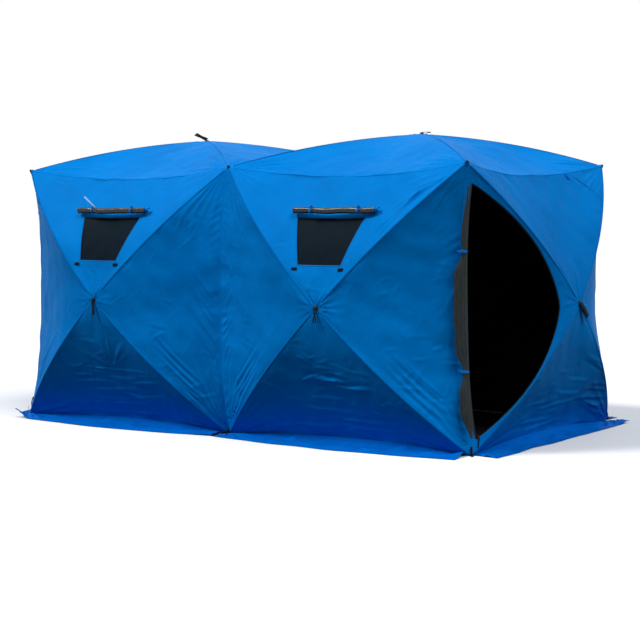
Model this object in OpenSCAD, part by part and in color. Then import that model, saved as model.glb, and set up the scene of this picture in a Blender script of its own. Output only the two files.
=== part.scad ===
// Pop-up ice fishing shelter: two square bays of coated fabric in one long hut, held out by
// bent poles. Every wall and roof bay has a hub at its middle, pushed outwards, and four poles
// that run from the hub to the bay's corners. Millimetres, +Z up, front wall facing -Y.
// The origin is on the ground, in the middle of the base.

/* [Overall] */
// Length of the base, two bays
base_length = 3620; // [2900:10:4400]
// Width of the base
base_width = 1850; // [1500:10:2250]
// Height of the roof's corners
corner_height = 1730; // [1450:10:2100]
// How far each end leans in at its top corners
end_lean = 38; // [0:1:80]
// How far each long side leans in at its top corners
side_lean = 19; // [0:1:60]

/* [Hubs] */
// Height of the wall hubs
wall_hub_height = 862; // [700:1:1050]
// How far the roof hubs stand above the roof's corners
roof_rise = 212; // [120:1:320]
// How far the hubs of the long walls stand out past the base line
side_bulge = 299; // [150:1:400]
// How far the hubs of the end walls stand out past the base line
end_bulge = 247; // [150:1:400]
// Radius of a hub's core
hub_radius = 27; // [22:1:40]
// Thickness of a hub's core
hub_thickness = 16; // [12:1:20]
// Length of a hub's sleeve, which holds the end of a pole
sleeve_length = 46; // [30:1:80]
// Thickness of a sleeve's wall
sleeve_wall = 2.6; // [2:0.1:4]
// How far inside the hub's rim a sleeve starts
sleeve_inset = 6; // [4:1:10]
// Solid length of a sleeve before the pole's end
sleeve_floor = 8; // [4:1:12]

/* [Poles] */
// Radius of a fibreglass pole
pole_radius = 5.5; // [4:0.1:7]
// How far a pole of a long wall bends away from its straight line
side_pole_bend = 78; // [30:1:110]
// The same for an end wall
end_pole_bend = 64; // [30:1:110]
// The same for the roof
roof_pole_bend = 37; // [15:1:80]
// Gap between a pole and the fabric over it
pole_gap = 7; // [6:0.5:12]
// Gap all round a pole in its sleeve
sleeve_gap = 0.5; // [0.3:0.1:1]
// Gap between a fitting and what it lies loosely against
loose_gap = 3; // [2:0.5:4]

/* [Fabric] */
// Thickness of the fabric panels
fabric = 4; // [3:0.5:8]
// How far a panel dips between its two poles
panel_dip = 35; // [0:1:60]
// How far an upright corner seam is drawn in, along each side
corner_draw = 52; // [0:1:90]
// How far the seam beside the open door is drawn in, along the front wall
door_corner_draw = 64; // [40:1:90]
// How far that seam is drawn in, along the end wall
door_corner_give = 22; // [0:1:60]
// How far the middle upright seams bow out
middle_bow = 90; // [0:1:130]
// How far a roof edge is drawn in
eave_draw = 70; // [0:1:100]
// How far a roof edge hangs down
eave_sag = 70; // [0:1:100]
// How far the seam between the roof bays rises
ridge_rise = 70; // [0:1:120]
// How far a bottom edge is drawn in
hem_draw = 20; // [0:1:50]
// How far a bottom edge lifts off the ground
hem_lift = 40; // [0:1:70]
// Length of seam left open at each corner, where the fitting comes through
corner_opening = 40; // [36:1:60]

/* [Skirt] */
// Thickness of the snow skirt
skirt_thickness = 3; // [2:0.5:6]
// Width of a long side's skirt at the middle of a bay
skirt_width = 260; // [120:5:350]
// Width of a long side's skirt at its ends
skirt_end_width = 180; // [80:5:250]
// Width of an end wall's skirt
end_skirt_width = 172; // [80:5:300]
// How far the skirt's outer corners reach past its sewn ends
skirt_flare = 25; // [0:5:35]
// Gap between a wall's bottom edge and the skirt's top edge
skirt_gap = 5; // [4:0.5:8]
// How far out the skirt meets the ground
skirt_drop = 75; // [40:1:79]

/* [Windows] */
// Width of a window along its top
window_top_width = 500; // [300:5:620]
// Width of a window along its bottom
window_bottom_width = 315; // [200:5:400]
// Bottom of the window, as a share of the way from the hub to the roof edge
window_bottom = 0.29; // [0.25:0.01:0.40]
// Top of the window, measured the same way
window_top = 0.64; // [0.50:0.01:0.66]
// How far the clear sheet reaches past the opening, behind the fabric
window_lap = 14; // [8:1:25]
// Thickness of the clear sheet
window_sheet = 2; // [1:0.5:4]
// Gap between the clear sheet and the fabric
window_gap = 3; // [2:0.5:5]
// Length of the rolled-up window cover
cover_length = 600; // [560:5:700]
// Radius of the rolled-up window cover
cover_radius = 22; // [15:1:35]
// How far the roll lies off the window's middle
cover_shift = 17; // [0:1:30]
// Where the roll lies, as a share of the way from the hub to the roof edge
cover_place = 0.68; // [0.67:0.01:0.80]

/* [Door] */
// Height of the door opening's lower tip above the ground
door_sill = 97; // [70:1:200]
// Distance of its upper tip below the roof's corners
door_head = 127; // [100:1:300]
// Width of the door opening at its middle
door_width = 618; // [450:10:640]
// How round the door's curved edge is: 2 is a parabola, 1 is a triangle
door_roundness = 1.55; // [1.3:0.05:2]
// Distance of the door's straight edge from the corner seam
door_seam = 34; // [25:1:60]
// Gap round the closed door
door_gap = 1; // [0.5:0.5:3]
// Radius of the gathered door flap where it is fullest
flap_radius = 38; // [20:1:50]
// Radius of the flap where a tie holds it
flap_waist = 25; // [12:1:35]
// Distance of the flap's middle from the corner seam
flap_out = 52; // [48:1:80]
// How much shorter than the opening the flap is
flap_short = 60; // [20:5:120]
// Distance from its ends over which the flap fills out
flap_taper = 260; // [150:10:400]
// Distance from a tie over which the flap fills out
tie_taper = 150; // [80:5:250]
// Distance of each tie from the door's middle, as a share of the door's height
tie_place = 0.235; // [0.15:0.005:0.35]
// Width of a tie
tie_width = 26; // [10:1:40]
// Thickness of a tie
tie_thickness = 3; // [2:0.5:5]

/* [Fittings] */
// Radius of the black boot on each roof corner
boot_radius = 15; // [10:1:20]
// Radius of the ball inside each roof corner, where the poles end
ball_radius = 9; // [7:0.5:10]
// Radius of the stem between that ball and the boot
stem_radius = 6.3; // [5:0.1:7]
// Radius of the foot in each ground corner
foot_radius = 11; // [8:1:14]
// Height of the foot
foot_height = 24; // [18:1:30]
// Width of a hub's pull strap
strap_width = 28; // [20:1:40]
// Length of the pull strap's loop
strap_length = 112; // [70:1:140]
// Thickness of the strap
strap_thickness = 3; // [2:0.5:5]

/* [Hidden] */

azure = [0.02, 0.36, 0.72];
deep_blue = [0.01, 0.24, 0.52];
black = [0.03, 0.03, 0.035];
grey = [0.16, 0.18, 0.18];

RINGS = 8;         // rings of panel points from a hub to its bay's edge
ACROSS = 8;        // steps along each seam
ROUND = 48;
pole_depth = fabric + pole_gap + pole_radius;   // from a panel's outer face to a pole's middle
sleeve_radius = pole_radius + sleeve_gap + sleeve_wall;
sleeve_start = hub_radius - sleeve_inset;
pole_start = sleeve_start + sleeve_floor;
pole_stop = max(ball_radius, foot_radius) + pole_radius + loose_gap;
door_height = corner_height - door_sill - door_head;
door_middle = door_sill + door_height / 2;
strap_bend = 3 * strap_thickness;               // half the depth of a strap's loop
tie_heights = [door_middle - tie_place * door_height, door_middle + tie_place * door_height];

function unit(v) = v / norm(v);
function flat_part(v, along) = v - (v * along) * along;

// A corner of the frame: column -1, 0, 1 from left to right, side -1 front or 1 back, level 0
// or 1. "deep" moves it inwards, off every outer face that meets there.
function corner(column, side, level, deep = 0) = [
    column * (base_length / 2 - level * end_lean - deep),
    side * (base_width / 2 - level * side_lean - deep),
    level * (corner_height - deep)
];

// Each face is [outward direction, hub, pole bend, corners in order, bow of the seam after each
// corner, straightness of that seam's ends].
function side_face(bay, side, deep = 0) = let (
        inner = bay > 0 ? 0 : -1,
        outer = bay > 0 ? 1 : 0,
        left_bow = seam_bow(inner, side),
        right_bow = seam_bow(outer, side)
    ) [
        [0, side, 0],
        [bay * base_length / 4, side * (base_width / 2 + side_bulge - deep), wall_hub_height],
        side_pole_bend,
        [corner(inner, side, 0, deep), corner(outer, side, 0, deep),
         corner(outer, side, 1, deep), corner(inner, side, 1, deep)],
        [[0, -side * hem_draw, hem_lift], right_bow, [0, -side * eave_draw, -eave_sag], left_bow],
        [2, 3, 2, 3]
    ];
function seam_bow(column, side) = column == 0 ? [0, side * middle_bow, 0]
    : column > 0 && side < 0 ? [-door_corner_draw, door_corner_give, 0]
    : [-column * corner_draw, -side * corner_draw, 0];
function end_face(end, deep = 0) = [
        [end, 0, 0],
        [end * (base_length / 2 + end_bulge - deep), 0, wall_hub_height],
        end_pole_bend,
        [corner(end, -1, 0, deep), corner(end, 1, 0, deep),
         corner(end, 1, 1, deep), corner(end, -1, 1, deep)],
        [[-end * hem_draw, 0, hem_lift], seam_bow(end, 1), [-end * eave_draw, 0, -eave_sag],
         seam_bow(end, -1)],
        [2, 3, 2, 3]
    ];
function roof_face(bay, deep = 0) = let (
        inner = bay > 0 ? 0 : -1,
        outer = bay > 0 ? 1 : 0,
        ridge = [0, 0, ridge_rise],
        gable = [-bay * eave_draw, 0, -eave_sag]
    ) [
        [0, 0, 1],
        [bay * (base_length / 4), 0, corner_height + roof_rise - deep],
        roof_pole_bend,
        [corner(inner, -1, 1, deep), corner(outer, -1, 1, deep),
         corner(outer, 1, 1, deep), corner(inner, 1, 1, deep)],
        [[0, eave_draw, -eave_sag], bay > 0 ? gable : ridge, [0, -eave_draw, -eave_sag],
         bay > 0 ? ridge : gable],
        [2, 2, 2, 2]
    ];

function out_of(face) = face[0];
function hub_of(face) = face[1];
function bend_of(face) = face[2];
function corner_of(face, k) = face[3][k % 4];
function seam_of(face, k) = face[4][k % 4];

// The line of a pole, from the hub (t = 0) to corner k (t = 1), bent away from its chord.
function pole_lift(face, k) = unit(flat_part(out_of(face), unit(corner_of(face, k) - hub_of(face))));
function pole_line(face, k, t) = hub_of(face) + t * (corner_of(face, k) - hub_of(face))
    + 4 * t * (1 - t) * bend_of(face) * pole_lift(face, k);

// A point of the panel between poles k and k + 1: t from hub to seam, s from pole to pole. The
// dip is deepest, and the full panel_dip, two thirds of the way from the hub to the seam.
function seam_shape(face, k, s) = 1 - pow(abs(2 * s - 1), face[5][k % 4]);
function dip_shape(t) = 6.75 * t * t * (1 - t);
function panel_point(face, k, t, s) =
    (1 - s) * pole_line(face, k, t) + s * pole_line(face, k + 1, t)
    + t * t * seam_shape(face, k, s) * seam_of(face, k)
    - 4 * s * (1 - s) * dip_shape(t) * panel_dip * out_of(face);

// Steps from 0 to 1 along seam k, with the corner's opening cut across at both ends.
function seam_length(face, k) = norm(corner_of(face, k + 1) - corner_of(face, k));
function seam_steps(face, k) = let (cut = corner_opening / seam_length(face, k))
    concat([0, cut], [for (i = [1:ACROSS - 1]) i / ACROSS], [1 - cut]);
function pole_cut(face, k) =
    1 - corner_opening / sqrt(2) / norm(corner_of(face, k) - hub_of(face));
function edge_point(face, k, i) = i > 0 ? panel_point(face, k, 1, seam_steps(face, k)[i])
    : pole_line(face, k, pole_cut(face, k));
function ring(face, j) = [for (k = [0:3]) for (i = [0:ACROSS + 1])
    j == RINGS ? edge_point(face, k, i) : panel_point(face, k, j / RINGS, seam_steps(face, k)[i])];

// Two faces that share a seam run along it in their own order, so their edges are cut into
// triangles by the seam's own direction, and meet without a gap or an overlap.
function runs_forward(face, k) = (corner_of(face, k + 1) - corner_of(face, k)) * [1, 1, 1] > 0;

// A closed skin between the same face at two depths.
module skin(outer, inner, flip = false) {
    count = 4 * (ACROSS + 2);
    points = concat([hub_of(outer)], [for (j = [1:RINGS]) each ring(outer, j)],
                    [hub_of(inner)], [for (j = [1:RINGS]) each ring(inner, j)]);
    inside = 1 + RINGS * count;
    function at(base, j, i) = base + 1 + (j - 1) * count + i % count;
    faces = concat(
        [for (i = [0:count - 1]) [0, at(0, 1, i + 1), at(0, 1, i)]],
        [for (j = [1:RINGS - 1]) for (i = [0:count - 1]) each [
            [at(0, j, i), at(0, j, i + 1), at(0, j + 1, i)],
            [at(0, j, i + 1), at(0, j + 1, i + 1), at(0, j + 1, i)]]],
        [for (i = [0:count - 1]) [inside, at(inside, 1, i), at(inside, 1, i + 1)]],
        [for (j = [1:RINGS - 1]) for (i = [0:count - 1]) each [
            [at(inside, j, i), at(inside, j + 1, i), at(inside, j, i + 1)],
            [at(inside, j, i + 1), at(inside, j + 1, i), at(inside, j + 1, i + 1)]]],
        [for (i = [0:count - 1]) let (a = at(0, RINGS, i), b = at(0, RINGS, i + 1),
                                      c = at(inside, RINGS, i + 1), d = at(inside, RINGS, i))
            each runs_forward(outer, floor(i / (ACROSS + 2))) ? [[a, b, d], [b, c, d]]
                : [[a, b, c], [a, c, d]]]);
    polyhedron(points, flip ? [for (f = faces) [f[0], f[2], f[1]]] : faces);
}

// A closed loft: each section is a ring of points, all with the same even number of points,
// whose second half runs back along its first half. Both halves are cut into triangles alike,
// so a thin sheet keeps its thickness where it twists.
module loft(sections, flip = false) {
    n = len(sections[0]);
    last = (len(sections) - 1) * n;
    faces = concat(
        [for (i = [0:n / 2 - 2]) each [[i, i + 1, n - 1 - i], [i + 1, n - 2 - i, n - 1 - i]]],
        [for (j = [0:len(sections) - 2]) for (i = [0:n - 1]) let (a = j * n, b = a + n, m = (i + 1) % n)
            each i < n / 2 ? [[a + i, b + i, a + m], [a + m, b + i, b + m]]
                : [[a + i, b + i, b + m], [a + i, b + m, a + m]]],
        [for (i = [0:n / 2 - 2]) each [[last + i, last + n - 1 - i, last + i + 1],
                                       [last + i + 1, last + n - 1 - i, last + n - 2 - i]]]);
    polyhedron([for (s = sections) each s], flip ? [for (f = faces) [f[0], f[2], f[1]]] : faces);
}

// Moves a shape drawn along +Z so that it starts at "from" and points along "along".
module aim(from, along) {
    z = unit(along);
    x = unit(flat_part(abs(z.z) < 0.9 ? [0, 0, 1] : [1, 0, 0], z));
    y = cross(z, x);
    multmatrix([[x.x, y.x, z.x, from.x], [x.y, y.y, z.y, from.y], [x.z, y.z, z.z, from.z]])
        children();
}

// --- poles and hubs ---
function arc_radius(chord, bend) = (chord * chord / 4 + bend * bend) / (2 * bend);

// A point of the bent pole k of a face, "along" millimetres from the hub, on its true arc.
function arc_point(face, k, along) = let (
        a = hub_of(face), b = corner_of(face, k), chord = norm(b - a), e = (b - a) / chord,
        lift = pole_lift(face, k), r = arc_radius(chord, bend_of(face)),
        half = asin(chord / 2 / r), angle = along / r * 180 / PI - half
    ) a + (chord / 2 + r * sin(angle)) * e + (r * cos(angle) - r + bend_of(face)) * lift;

module rod(face, k, hub_end, corner_end) {
    a = hub_of(face);
    b = corner_of(face, k);
    chord = norm(b - a);
    e = (b - a) / chord;
    u = pole_lift(face, k);
    w = cross(e, u);
    r = arc_radius(chord, bend_of(face));
    half = asin(chord / 2 / r);
    turn = 2 * half - (hub_end + corner_end) / r * 180 / PI;
    multmatrix([[e.x, u.x, w.x, a.x], [e.y, u.y, w.y, a.y], [e.z, u.z, w.z, a.z]])
        translate([chord / 2, bend_of(face) - r, 0])
            rotate([0, 0, 90 - half + corner_end / r * 180 / PI])
                rotate_extrude(angle = turn, $fn = 360)
                    translate([r, 0]) circle(pole_radius, $fn = ROUND);
}

module poles(face) color(black) for (k = [0:3]) rod(face, k, pole_start, pole_stop);

module hub(face) color(black) difference() {
    union() {
        aim(hub_of(face) - hub_thickness / 2 * out_of(face), out_of(face))
            cylinder(h = hub_thickness, r = hub_radius, $fn = ROUND);
        for (k = [0:3]) let (a = arc_point(face, k, sleeve_start),
                             b = arc_point(face, k, sleeve_start + sleeve_length))
            aim(a, b - a) cylinder(h = sleeve_length, r = sleeve_radius, $fn = ROUND);
    }
    for (k = [0:3]) let (a = arc_point(face, k, sleeve_start),
                         b = arc_point(face, k, sleeve_start + sleeve_length))
        aim(a + (pole_start - sleeve_start - 1) * unit(b - a), b - a)
            cylinder(h = sleeve_length, r = pole_radius + sleeve_gap, $fn = ROUND);
}

// A webbing loop that lies against the hub's outer face, hanging along "hang".
module pull_strap(face, hang) {
    z = out_of(face);
    y = unit(flat_part(hang, z));
    x = cross(y, z);
    from = hub_of(face) + loose_gap * z;
    multmatrix([[x.x, y.x, z.x, from.x], [x.y, y.y, z.y, from.y], [x.z, y.z, z.z, from.z]])
        translate([-strap_width / 2, 0, 0]) rotate([90, 0, 90]) linear_extrude(strap_width)
            difference() {
                strap_outline(strap_length, strap_bend);
                translate([strap_thickness, strap_thickness])
                    strap_outline(strap_length - 2 * strap_thickness,
                                  strap_bend - strap_thickness);
            }
}
module strap_outline(length, half) {
    square([length - half, 2 * half]);
    translate([length - half, half]) circle(half, $fn = ROUND);
}

// --- fabric ---
module side_wall(bay, side) color(azure) difference() {
    skin(side_face(bay, side), side_face(bay, side, fabric), side > 0);
    window_cut(bay, side);
}

// The window's outline lies in the panel over the hub, on its middle line.
function window_share(face, t, width) =
    width / 2 / norm(pole_line(face, 3, t) - pole_line(face, 2, t));
function window_row(face, t, spread, grow = 0) = let (
        step = (window_top - t) / (window_top - window_bottom),
        width = window_top_width + step * (window_bottom_width - window_top_width) + 2 * grow
    ) panel_point(face, 2, t, 0.5 + spread * window_share(face, t, width));
module window_cut(bay, side) {
    face = side_face(bay, side);
    low = window_row(face, window_bottom, 1);
    high = window_row(face, window_top, 1);
    middle = hub_of(face).x;
    outline = [[-abs(low.x - middle), low.z], [abs(low.x - middle), low.z],
               [abs(high.x - middle), high.z], [-abs(high.x - middle), high.z]];
    translate([middle, side * (base_width / 2 - panel_dip), 0]) rotate([90, 0, 0])
        translate([0, 0, side > 0 ? -2 * side_bulge : 0])
            linear_extrude(2 * side_bulge) polygon(outline);
}
module window(bay, side) {
    lap = window_lap / (corner_height - wall_hub_height);
    rows = [for (i = [0:4]) window_bottom - lap + i / 4 * (window_top - window_bottom + 2 * lap)];
    front = side_face(bay, side, fabric + window_gap);
    back = side_face(bay, side, fabric + window_gap + window_sheet);
    color(black) loft([for (t = rows) concat(
        [for (i = [-4:4]) window_row(front, t, i / 4, window_lap)],
        [for (i = [4:-1:-4]) window_row(back, t, i / 4, window_lap)])], side < 0);
}
module window_cover(bay, side) {
    face = side_face(bay, side);
    reach = window_share(face, cover_place, cover_length + 2 * cover_shift);
    edge = panel_point(face, 2, cover_place, 0.5 + reach);
    below = panel_point(face, 2, cover_place - 0.1, 0.5);
    above = panel_point(face, 2, cover_place + 0.1, 0.5);
    slope = above - below;
    out = unit([0, side * slope.z, -side * slope.y]);
    start = edge + (cover_radius + loose_gap) * out;
    middle = hub_of(face).x - side * cover_shift;
    color(grey) translate([middle - cover_length / 2, start.y, start.z]) rotate([0, 90, 0])
        cylinder(h = cover_length, r = cover_radius, $fn = ROUND);
}

module roof(bay) color(azure) skin(roof_face(bay), roof_face(bay, fabric));

// --- door ---
function seam_point(end, z) = let (level = z / corner_height)
    corner(end, -1, 0) + level * (corner(end, -1, 1) - corner(end, -1, 0))
    + (1 - pow(abs(2 * level - 1), 3)) * seam_bow(end, -1);
function door_level(step) = door_middle + step * door_height / 2;
function door_edge(end, step) = seam_point(end, door_level(step)).y + door_seam;
function door_reach(step) = door_width * (1 - pow(abs(step), door_roundness));
function door_outline(end) = concat(
    [for (i = [-12:12]) [door_edge(-1, i / 12) + door_reach(i / 12), door_level(i / 12)]],
    [for (i = [8:-1:-8]) [door_edge(end, i / 9), door_level(i / 9)]]);
module door_shape(end, gap = 0) {
    translate([end > 0 ? base_length / 4 : -base_length, 0, 0]) rotate([90, 0, 90])
        linear_extrude(3 * base_length / 4) offset(delta = -gap) polygon(door_outline(end));
}
module end_skin(end) skin(end_face(end), end_face(end, fabric), end < 0);
module end_wall(end) color(azure) difference() {
    end_skin(end);
    door_shape(end);
}
module closed_door(end) color(deep_blue) intersection() {
    end_skin(end);
    door_shape(end, door_gap);
}

// The open flap is gathered along the outside of the corner seam and held by two ties.
flap_lean = unit([0.5, -0.87, 0]);
flap_tip = 0.35;   // size of the flap's ends, as a share of the rest
function flap_middle(z) = seam_point(1, z) + flap_out * flap_lean;
function flap_size(z) = let (
        near = max(0, min([for (tie = tie_heights) abs(z - tie)]) - tie_width) / tie_taper,
        ends = min(1, (door_height / 2 - abs(z - door_middle)) / flap_taper)
    ) (flap_waist + (flap_radius - flap_waist) * min(1, near)) * (flap_tip + (1 - flap_tip) * ends);
// Levels up the flap, with one at both sides of each tie.
flap_stops = [door_middle - (door_height - flap_short) / 2,
              each [for (tie = tie_heights) each [tie - tie_width, tie + tie_width]],
              door_middle + (door_height - flap_short) / 2];
flap_levels = [for (i = [0:4]) let (steps = i % 2 == 0 ? 8 : 1) each [for (j = [0:steps - 1])
                   flap_stops[i] + j / steps * (flap_stops[i + 1] - flap_stops[i])], flap_stops[5]];
module flap() {
    sides = 12;
    color(grey) loft([for (z = flap_levels) [for (i = [0:sides - 1]) flap_middle(z)
        + flap_size(z) * [cos(i * 360 / sides), sin(i * 360 / sides), 0]]]);
}
module ties() color(azure) for (z = tie_heights) let (c = flap_middle(z), r = flap_waist + loose_gap / 2)
    translate([c.x, c.y, z - tie_width / 2]) difference() {
        cylinder(h = tie_width, r = r + tie_thickness, $fn = ROUND);
        translate([0, 0, -1]) cylinder(h = tie_width + 2, r = r, $fn = ROUND);
    }

// --- skirt ---
// A skirt runs from its wall's bottom edge down to the ground, then lies flat on it.
function skirt_section(face, s, width) = let (
        out = out_of(face),
        seam = panel_point(face, 0, 1, s) + skirt_gap * out,
        line = corner_of(face, 0) + s * (corner_of(face, 1) - corner_of(face, 0)),
        spread = unit(corner_of(face, 1) - corner_of(face, 0)) * skirt_flare * (2 * s - 1),
        turn = line + skirt_drop * out + spread * skirt_drop / width,
        rim = line + width * out + spread,
        up = [0, 0, skirt_thickness]
    ) [seam, turn, rim, rim + up, turn + up, seam + up];
module skirt(face, middle_width, end_width, flip) {
    steps = seam_steps(face, 0);
    color(azure) loft([for (j = [1:ACROSS + 1]) skirt_section(face, steps[j],
        end_width + (middle_width - end_width) * sin(180 * steps[j]))], flip);
}

// --- corner fittings ---
module roof_corner_boots() color(black) for (column = [-1:1]) for (side = [-1, 1]) {
    tip = corner(column, side, 1);
    ball = corner(column, side, 1, pole_depth);
    translate(tip) sphere(boot_radius, $fn = ROUND);
    translate(ball) sphere(ball_radius, $fn = ROUND);
    aim(ball, tip - ball) cylinder(h = norm(tip - ball), r = stem_radius, $fn = ROUND);
}
module ground_corner_feet() color(black) for (column = [-1:1]) for (side = [-1, 1])
    translate(corner(column, side, 0, pole_depth)) cylinder(h = foot_height, r = foot_radius, $fn = ROUND);

module hub_pull_straps() color(black) {
    for (bay = [-1, 1]) {
        for (side = [-1, 1]) pull_strap(side_face(bay, side), [0, 0, -1]);
        pull_strap(end_face(bay), [0, -0.6, -1]);
        pull_strap(roof_face(bay), bay < 0 ? [-1, 0, 0] : [0, 1, 0]);
    }
}

side_wall(-1, -1);  // front_wall_left
side_wall(1, -1);  // front_wall_right
side_wall(-1, 1);  // back_wall_left
side_wall(1, 1);  // back_wall_right
end_wall(-1);  // left_end_wall
end_wall(1);  // right_end_wall
roof(-1);  // roof_left
roof(1);  // roof_right
poles(side_face(-1, -1, pole_depth));  // front_left_poles
poles(side_face(1, -1, pole_depth));  // front_right_poles
poles(side_face(-1, 1, pole_depth));  // back_left_poles
poles(side_face(1, 1, pole_depth));  // back_right_poles
poles(end_face(-1, pole_depth));  // left_end_poles
poles(end_face(1, pole_depth));  // right_end_poles
poles(roof_face(-1, pole_depth));  // roof_left_poles
poles(roof_face(1, pole_depth));  // roof_right_poles
hub(side_face(-1, -1, pole_depth));  // front_left_hub
hub(side_face(1, -1, pole_depth));  // front_right_hub
hub(side_face(-1, 1, pole_depth));  // back_left_hub
hub(side_face(1, 1, pole_depth));  // back_right_hub
hub(end_face(-1, pole_depth));  // left_end_hub
hub(end_face(1, pole_depth));  // right_end_hub
hub(roof_face(-1, pole_depth));  // roof_left_hub
hub(roof_face(1, pole_depth));  // roof_right_hub
skirt(side_face(-1, -1), skirt_width, skirt_end_width, true);  // front_left_skirt
skirt(side_face(1, -1), skirt_width, skirt_end_width, true);  // front_right_skirt
skirt(side_face(-1, 1), skirt_width, skirt_end_width, false);  // back_left_skirt
skirt(side_face(1, 1), skirt_width, skirt_end_width, false);  // back_right_skirt
skirt(end_face(-1), end_skirt_width, end_skirt_width, false);  // left_end_skirt
skirt(end_face(1), end_skirt_width, end_skirt_width, true);  // right_end_skirt
window(-1, -1);  // front_left_window
window(1, -1);  // front_right_window
window(-1, 1);  // back_left_window
window(1, 1);  // back_right_window
window_cover(-1, -1);  // front_left_window_cover
window_cover(1, -1);  // front_right_window_cover
window_cover(-1, 1);  // back_left_window_cover
window_cover(1, 1);  // back_right_window_cover
flap();  // right_door_flap
ties();  // right_door_ties
closed_door(-1);  // left_door
roof_corner_boots();
ground_corner_feet();
hub_pull_straps();
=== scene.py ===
import math

import bpy
import numpy as np
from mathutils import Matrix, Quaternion, Vector


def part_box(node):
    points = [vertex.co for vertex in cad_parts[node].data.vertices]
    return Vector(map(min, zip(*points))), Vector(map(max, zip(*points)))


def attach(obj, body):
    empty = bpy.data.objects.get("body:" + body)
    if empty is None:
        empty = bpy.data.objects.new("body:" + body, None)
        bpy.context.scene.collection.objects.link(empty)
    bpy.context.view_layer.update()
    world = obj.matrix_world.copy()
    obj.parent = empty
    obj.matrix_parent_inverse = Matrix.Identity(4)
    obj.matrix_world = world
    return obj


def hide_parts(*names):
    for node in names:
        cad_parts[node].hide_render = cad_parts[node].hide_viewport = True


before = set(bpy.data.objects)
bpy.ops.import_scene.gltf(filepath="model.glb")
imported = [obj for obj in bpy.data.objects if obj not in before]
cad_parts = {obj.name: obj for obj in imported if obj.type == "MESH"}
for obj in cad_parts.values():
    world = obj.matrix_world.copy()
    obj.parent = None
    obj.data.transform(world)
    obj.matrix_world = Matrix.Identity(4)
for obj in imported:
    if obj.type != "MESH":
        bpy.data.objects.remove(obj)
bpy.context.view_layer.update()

# Looks of a two-bay pop-up ice fishing shelter. Metres, front wall facing -Y, as in the frame.
# Each wall or roof bay is a "face": a hub pushed outwards, and four poles to the bay's corners.

# --- sizes that the fabric shares with the frame ---
SIDE_BEND = 0.078
END_BEND = 0.064
ROOF_BEND = 0.037
PANEL_DIP = 0.035
CORNER_DRAW = 0.052
DOOR_CORNER_DRAW = 0.064
DOOR_CORNER_GIVE = 0.022
MIDDLE_BOW = 0.090
EAVE_DRAW = 0.070
EAVE_SAG = 0.070
RIDGE_RISE = 0.070
HEM_DRAW = 0.020
HEM_LIFT = 0.040
BOOT_RADIUS = 0.015
FOOT_RADIUS = 0.011
FOOT_INSET = 0.0055
WINDOW_BOTTOM = 0.29
WINDOW_TOP = 0.64
WINDOW_TOP_WIDTH = 0.500
WINDOW_BOTTOM_WIDTH = 0.315
COVER_PLACE = 0.68
COVER_RADIUS = 0.022
DOOR_SILL = 0.097
DOOR_HEAD = 0.127
DOOR_WIDTH = 0.618
DOOR_ROUNDNESS = 1.55
DOOR_SEAM = 0.034
FLAP_OUT = 0.052
TIE_PLACE = 0.235
SKIRT_WIDTH = 0.260
SKIRT_END_WIDTH = 0.180
END_SKIRT_WIDTH = 0.172
SKIRT_FLARE = 0.025
SKIRT_DROP = 0.075

# --- sizes of the looks alone ---
# Thickness of the bays' cloth, and of the three other kinds.
CLOTH = 0.0018
FLAP_CLOTH = 0.0013
SKIRT_CLOTH = 0.0016
COVER_CLOTH = 0.0016
# Stitches, each as length, pitch and radius.
STITCH = (0.006, 0.010, 0.0006)
DART_STITCH = (0.006, 0.009, 0.0007)
ZIP_STITCH = (0.006, 0.011, 0.0006)
HEM_STITCH = (0.006, 0.012, 0.0006)
FINE_STITCH = (0.003, 0.005, 0.0004)
SEAM_WAVER = 0.0024
LOOP_LENGTH = 0.100
GRID = {"front_left": 176, "front_right": 176, "right_end": 168, "roof_left": 118,
        "roof_right": 118}
SMALL_GRID = 96

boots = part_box("roof_corner_boots")[1]
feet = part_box("ground_corner_feet")[1]
TOP = np.array([boots.x - BOOT_RADIUS, boots.y - BOOT_RADIUS, boots.z - BOOT_RADIUS])
BASE = np.array([feet.x + FOOT_INSET, feet.y + FOOT_INSET, 0.0])
DOOR_HEIGHT = TOP[2] - DOOR_SILL - DOOR_HEAD
DOOR_MIDDLE = DOOR_SILL + DOOR_HEIGHT / 2
TIE_LEVELS = [DOOR_MIDDLE - TIE_PLACE * DOOR_HEIGHT, DOOR_MIDDLE + TIE_PLACE * DOOR_HEIGHT]
X, Y, Z = np.eye(3)
TAU = 2 * math.pi


def unit(v):
    v = np.asarray(v, float)
    return v / np.maximum(np.linalg.norm(v, axis=-1, keepdims=True), 1e-12)


def smooth(x):
    x = np.clip(x, 0, 1)
    return x * x * (3 - 2 * x)


def bell(x):
    return np.exp(-x ** 2)


def ladder(count, low=0.0, high=1.0):
    """A column of even steps, to multiply a direction with."""
    return np.linspace(low, high, count)[:, None]


def circle(count):
    return np.linspace(0, TAU, count + 1)[:-1]


def around(centre, radius, turn, a, b):
    """Points round a centre at these angles, which run from direction a towards b."""
    return centre + (radius * np.cos(turn))[:, None] * a + (radius * np.sin(turn))[:, None] * b


def curl(centre, radius, thickness, turn, a, b):
    """Outline of a curled strip: along its outer side, and back along its inner one."""
    return np.concatenate([around(centre, radius, turn, a, b),
                           around(centre, radius - thickness, turn, a, b)[::-1]])


def run_along(path):
    """How far along its path each point lies."""
    return np.concatenate([[0], np.cumsum(np.linalg.norm(np.diff(path, axis=0), axis=1))])


def ahead(path, closed=False):
    """The direction of a path at each of its points."""
    return unit(np.roll(path, -1, 0) - np.roll(path, 1, 0) if closed
                else np.gradient(path, axis=0))


def corner(column, side, level):
    return (TOP if level else BASE) * [column, side, 1]


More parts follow.
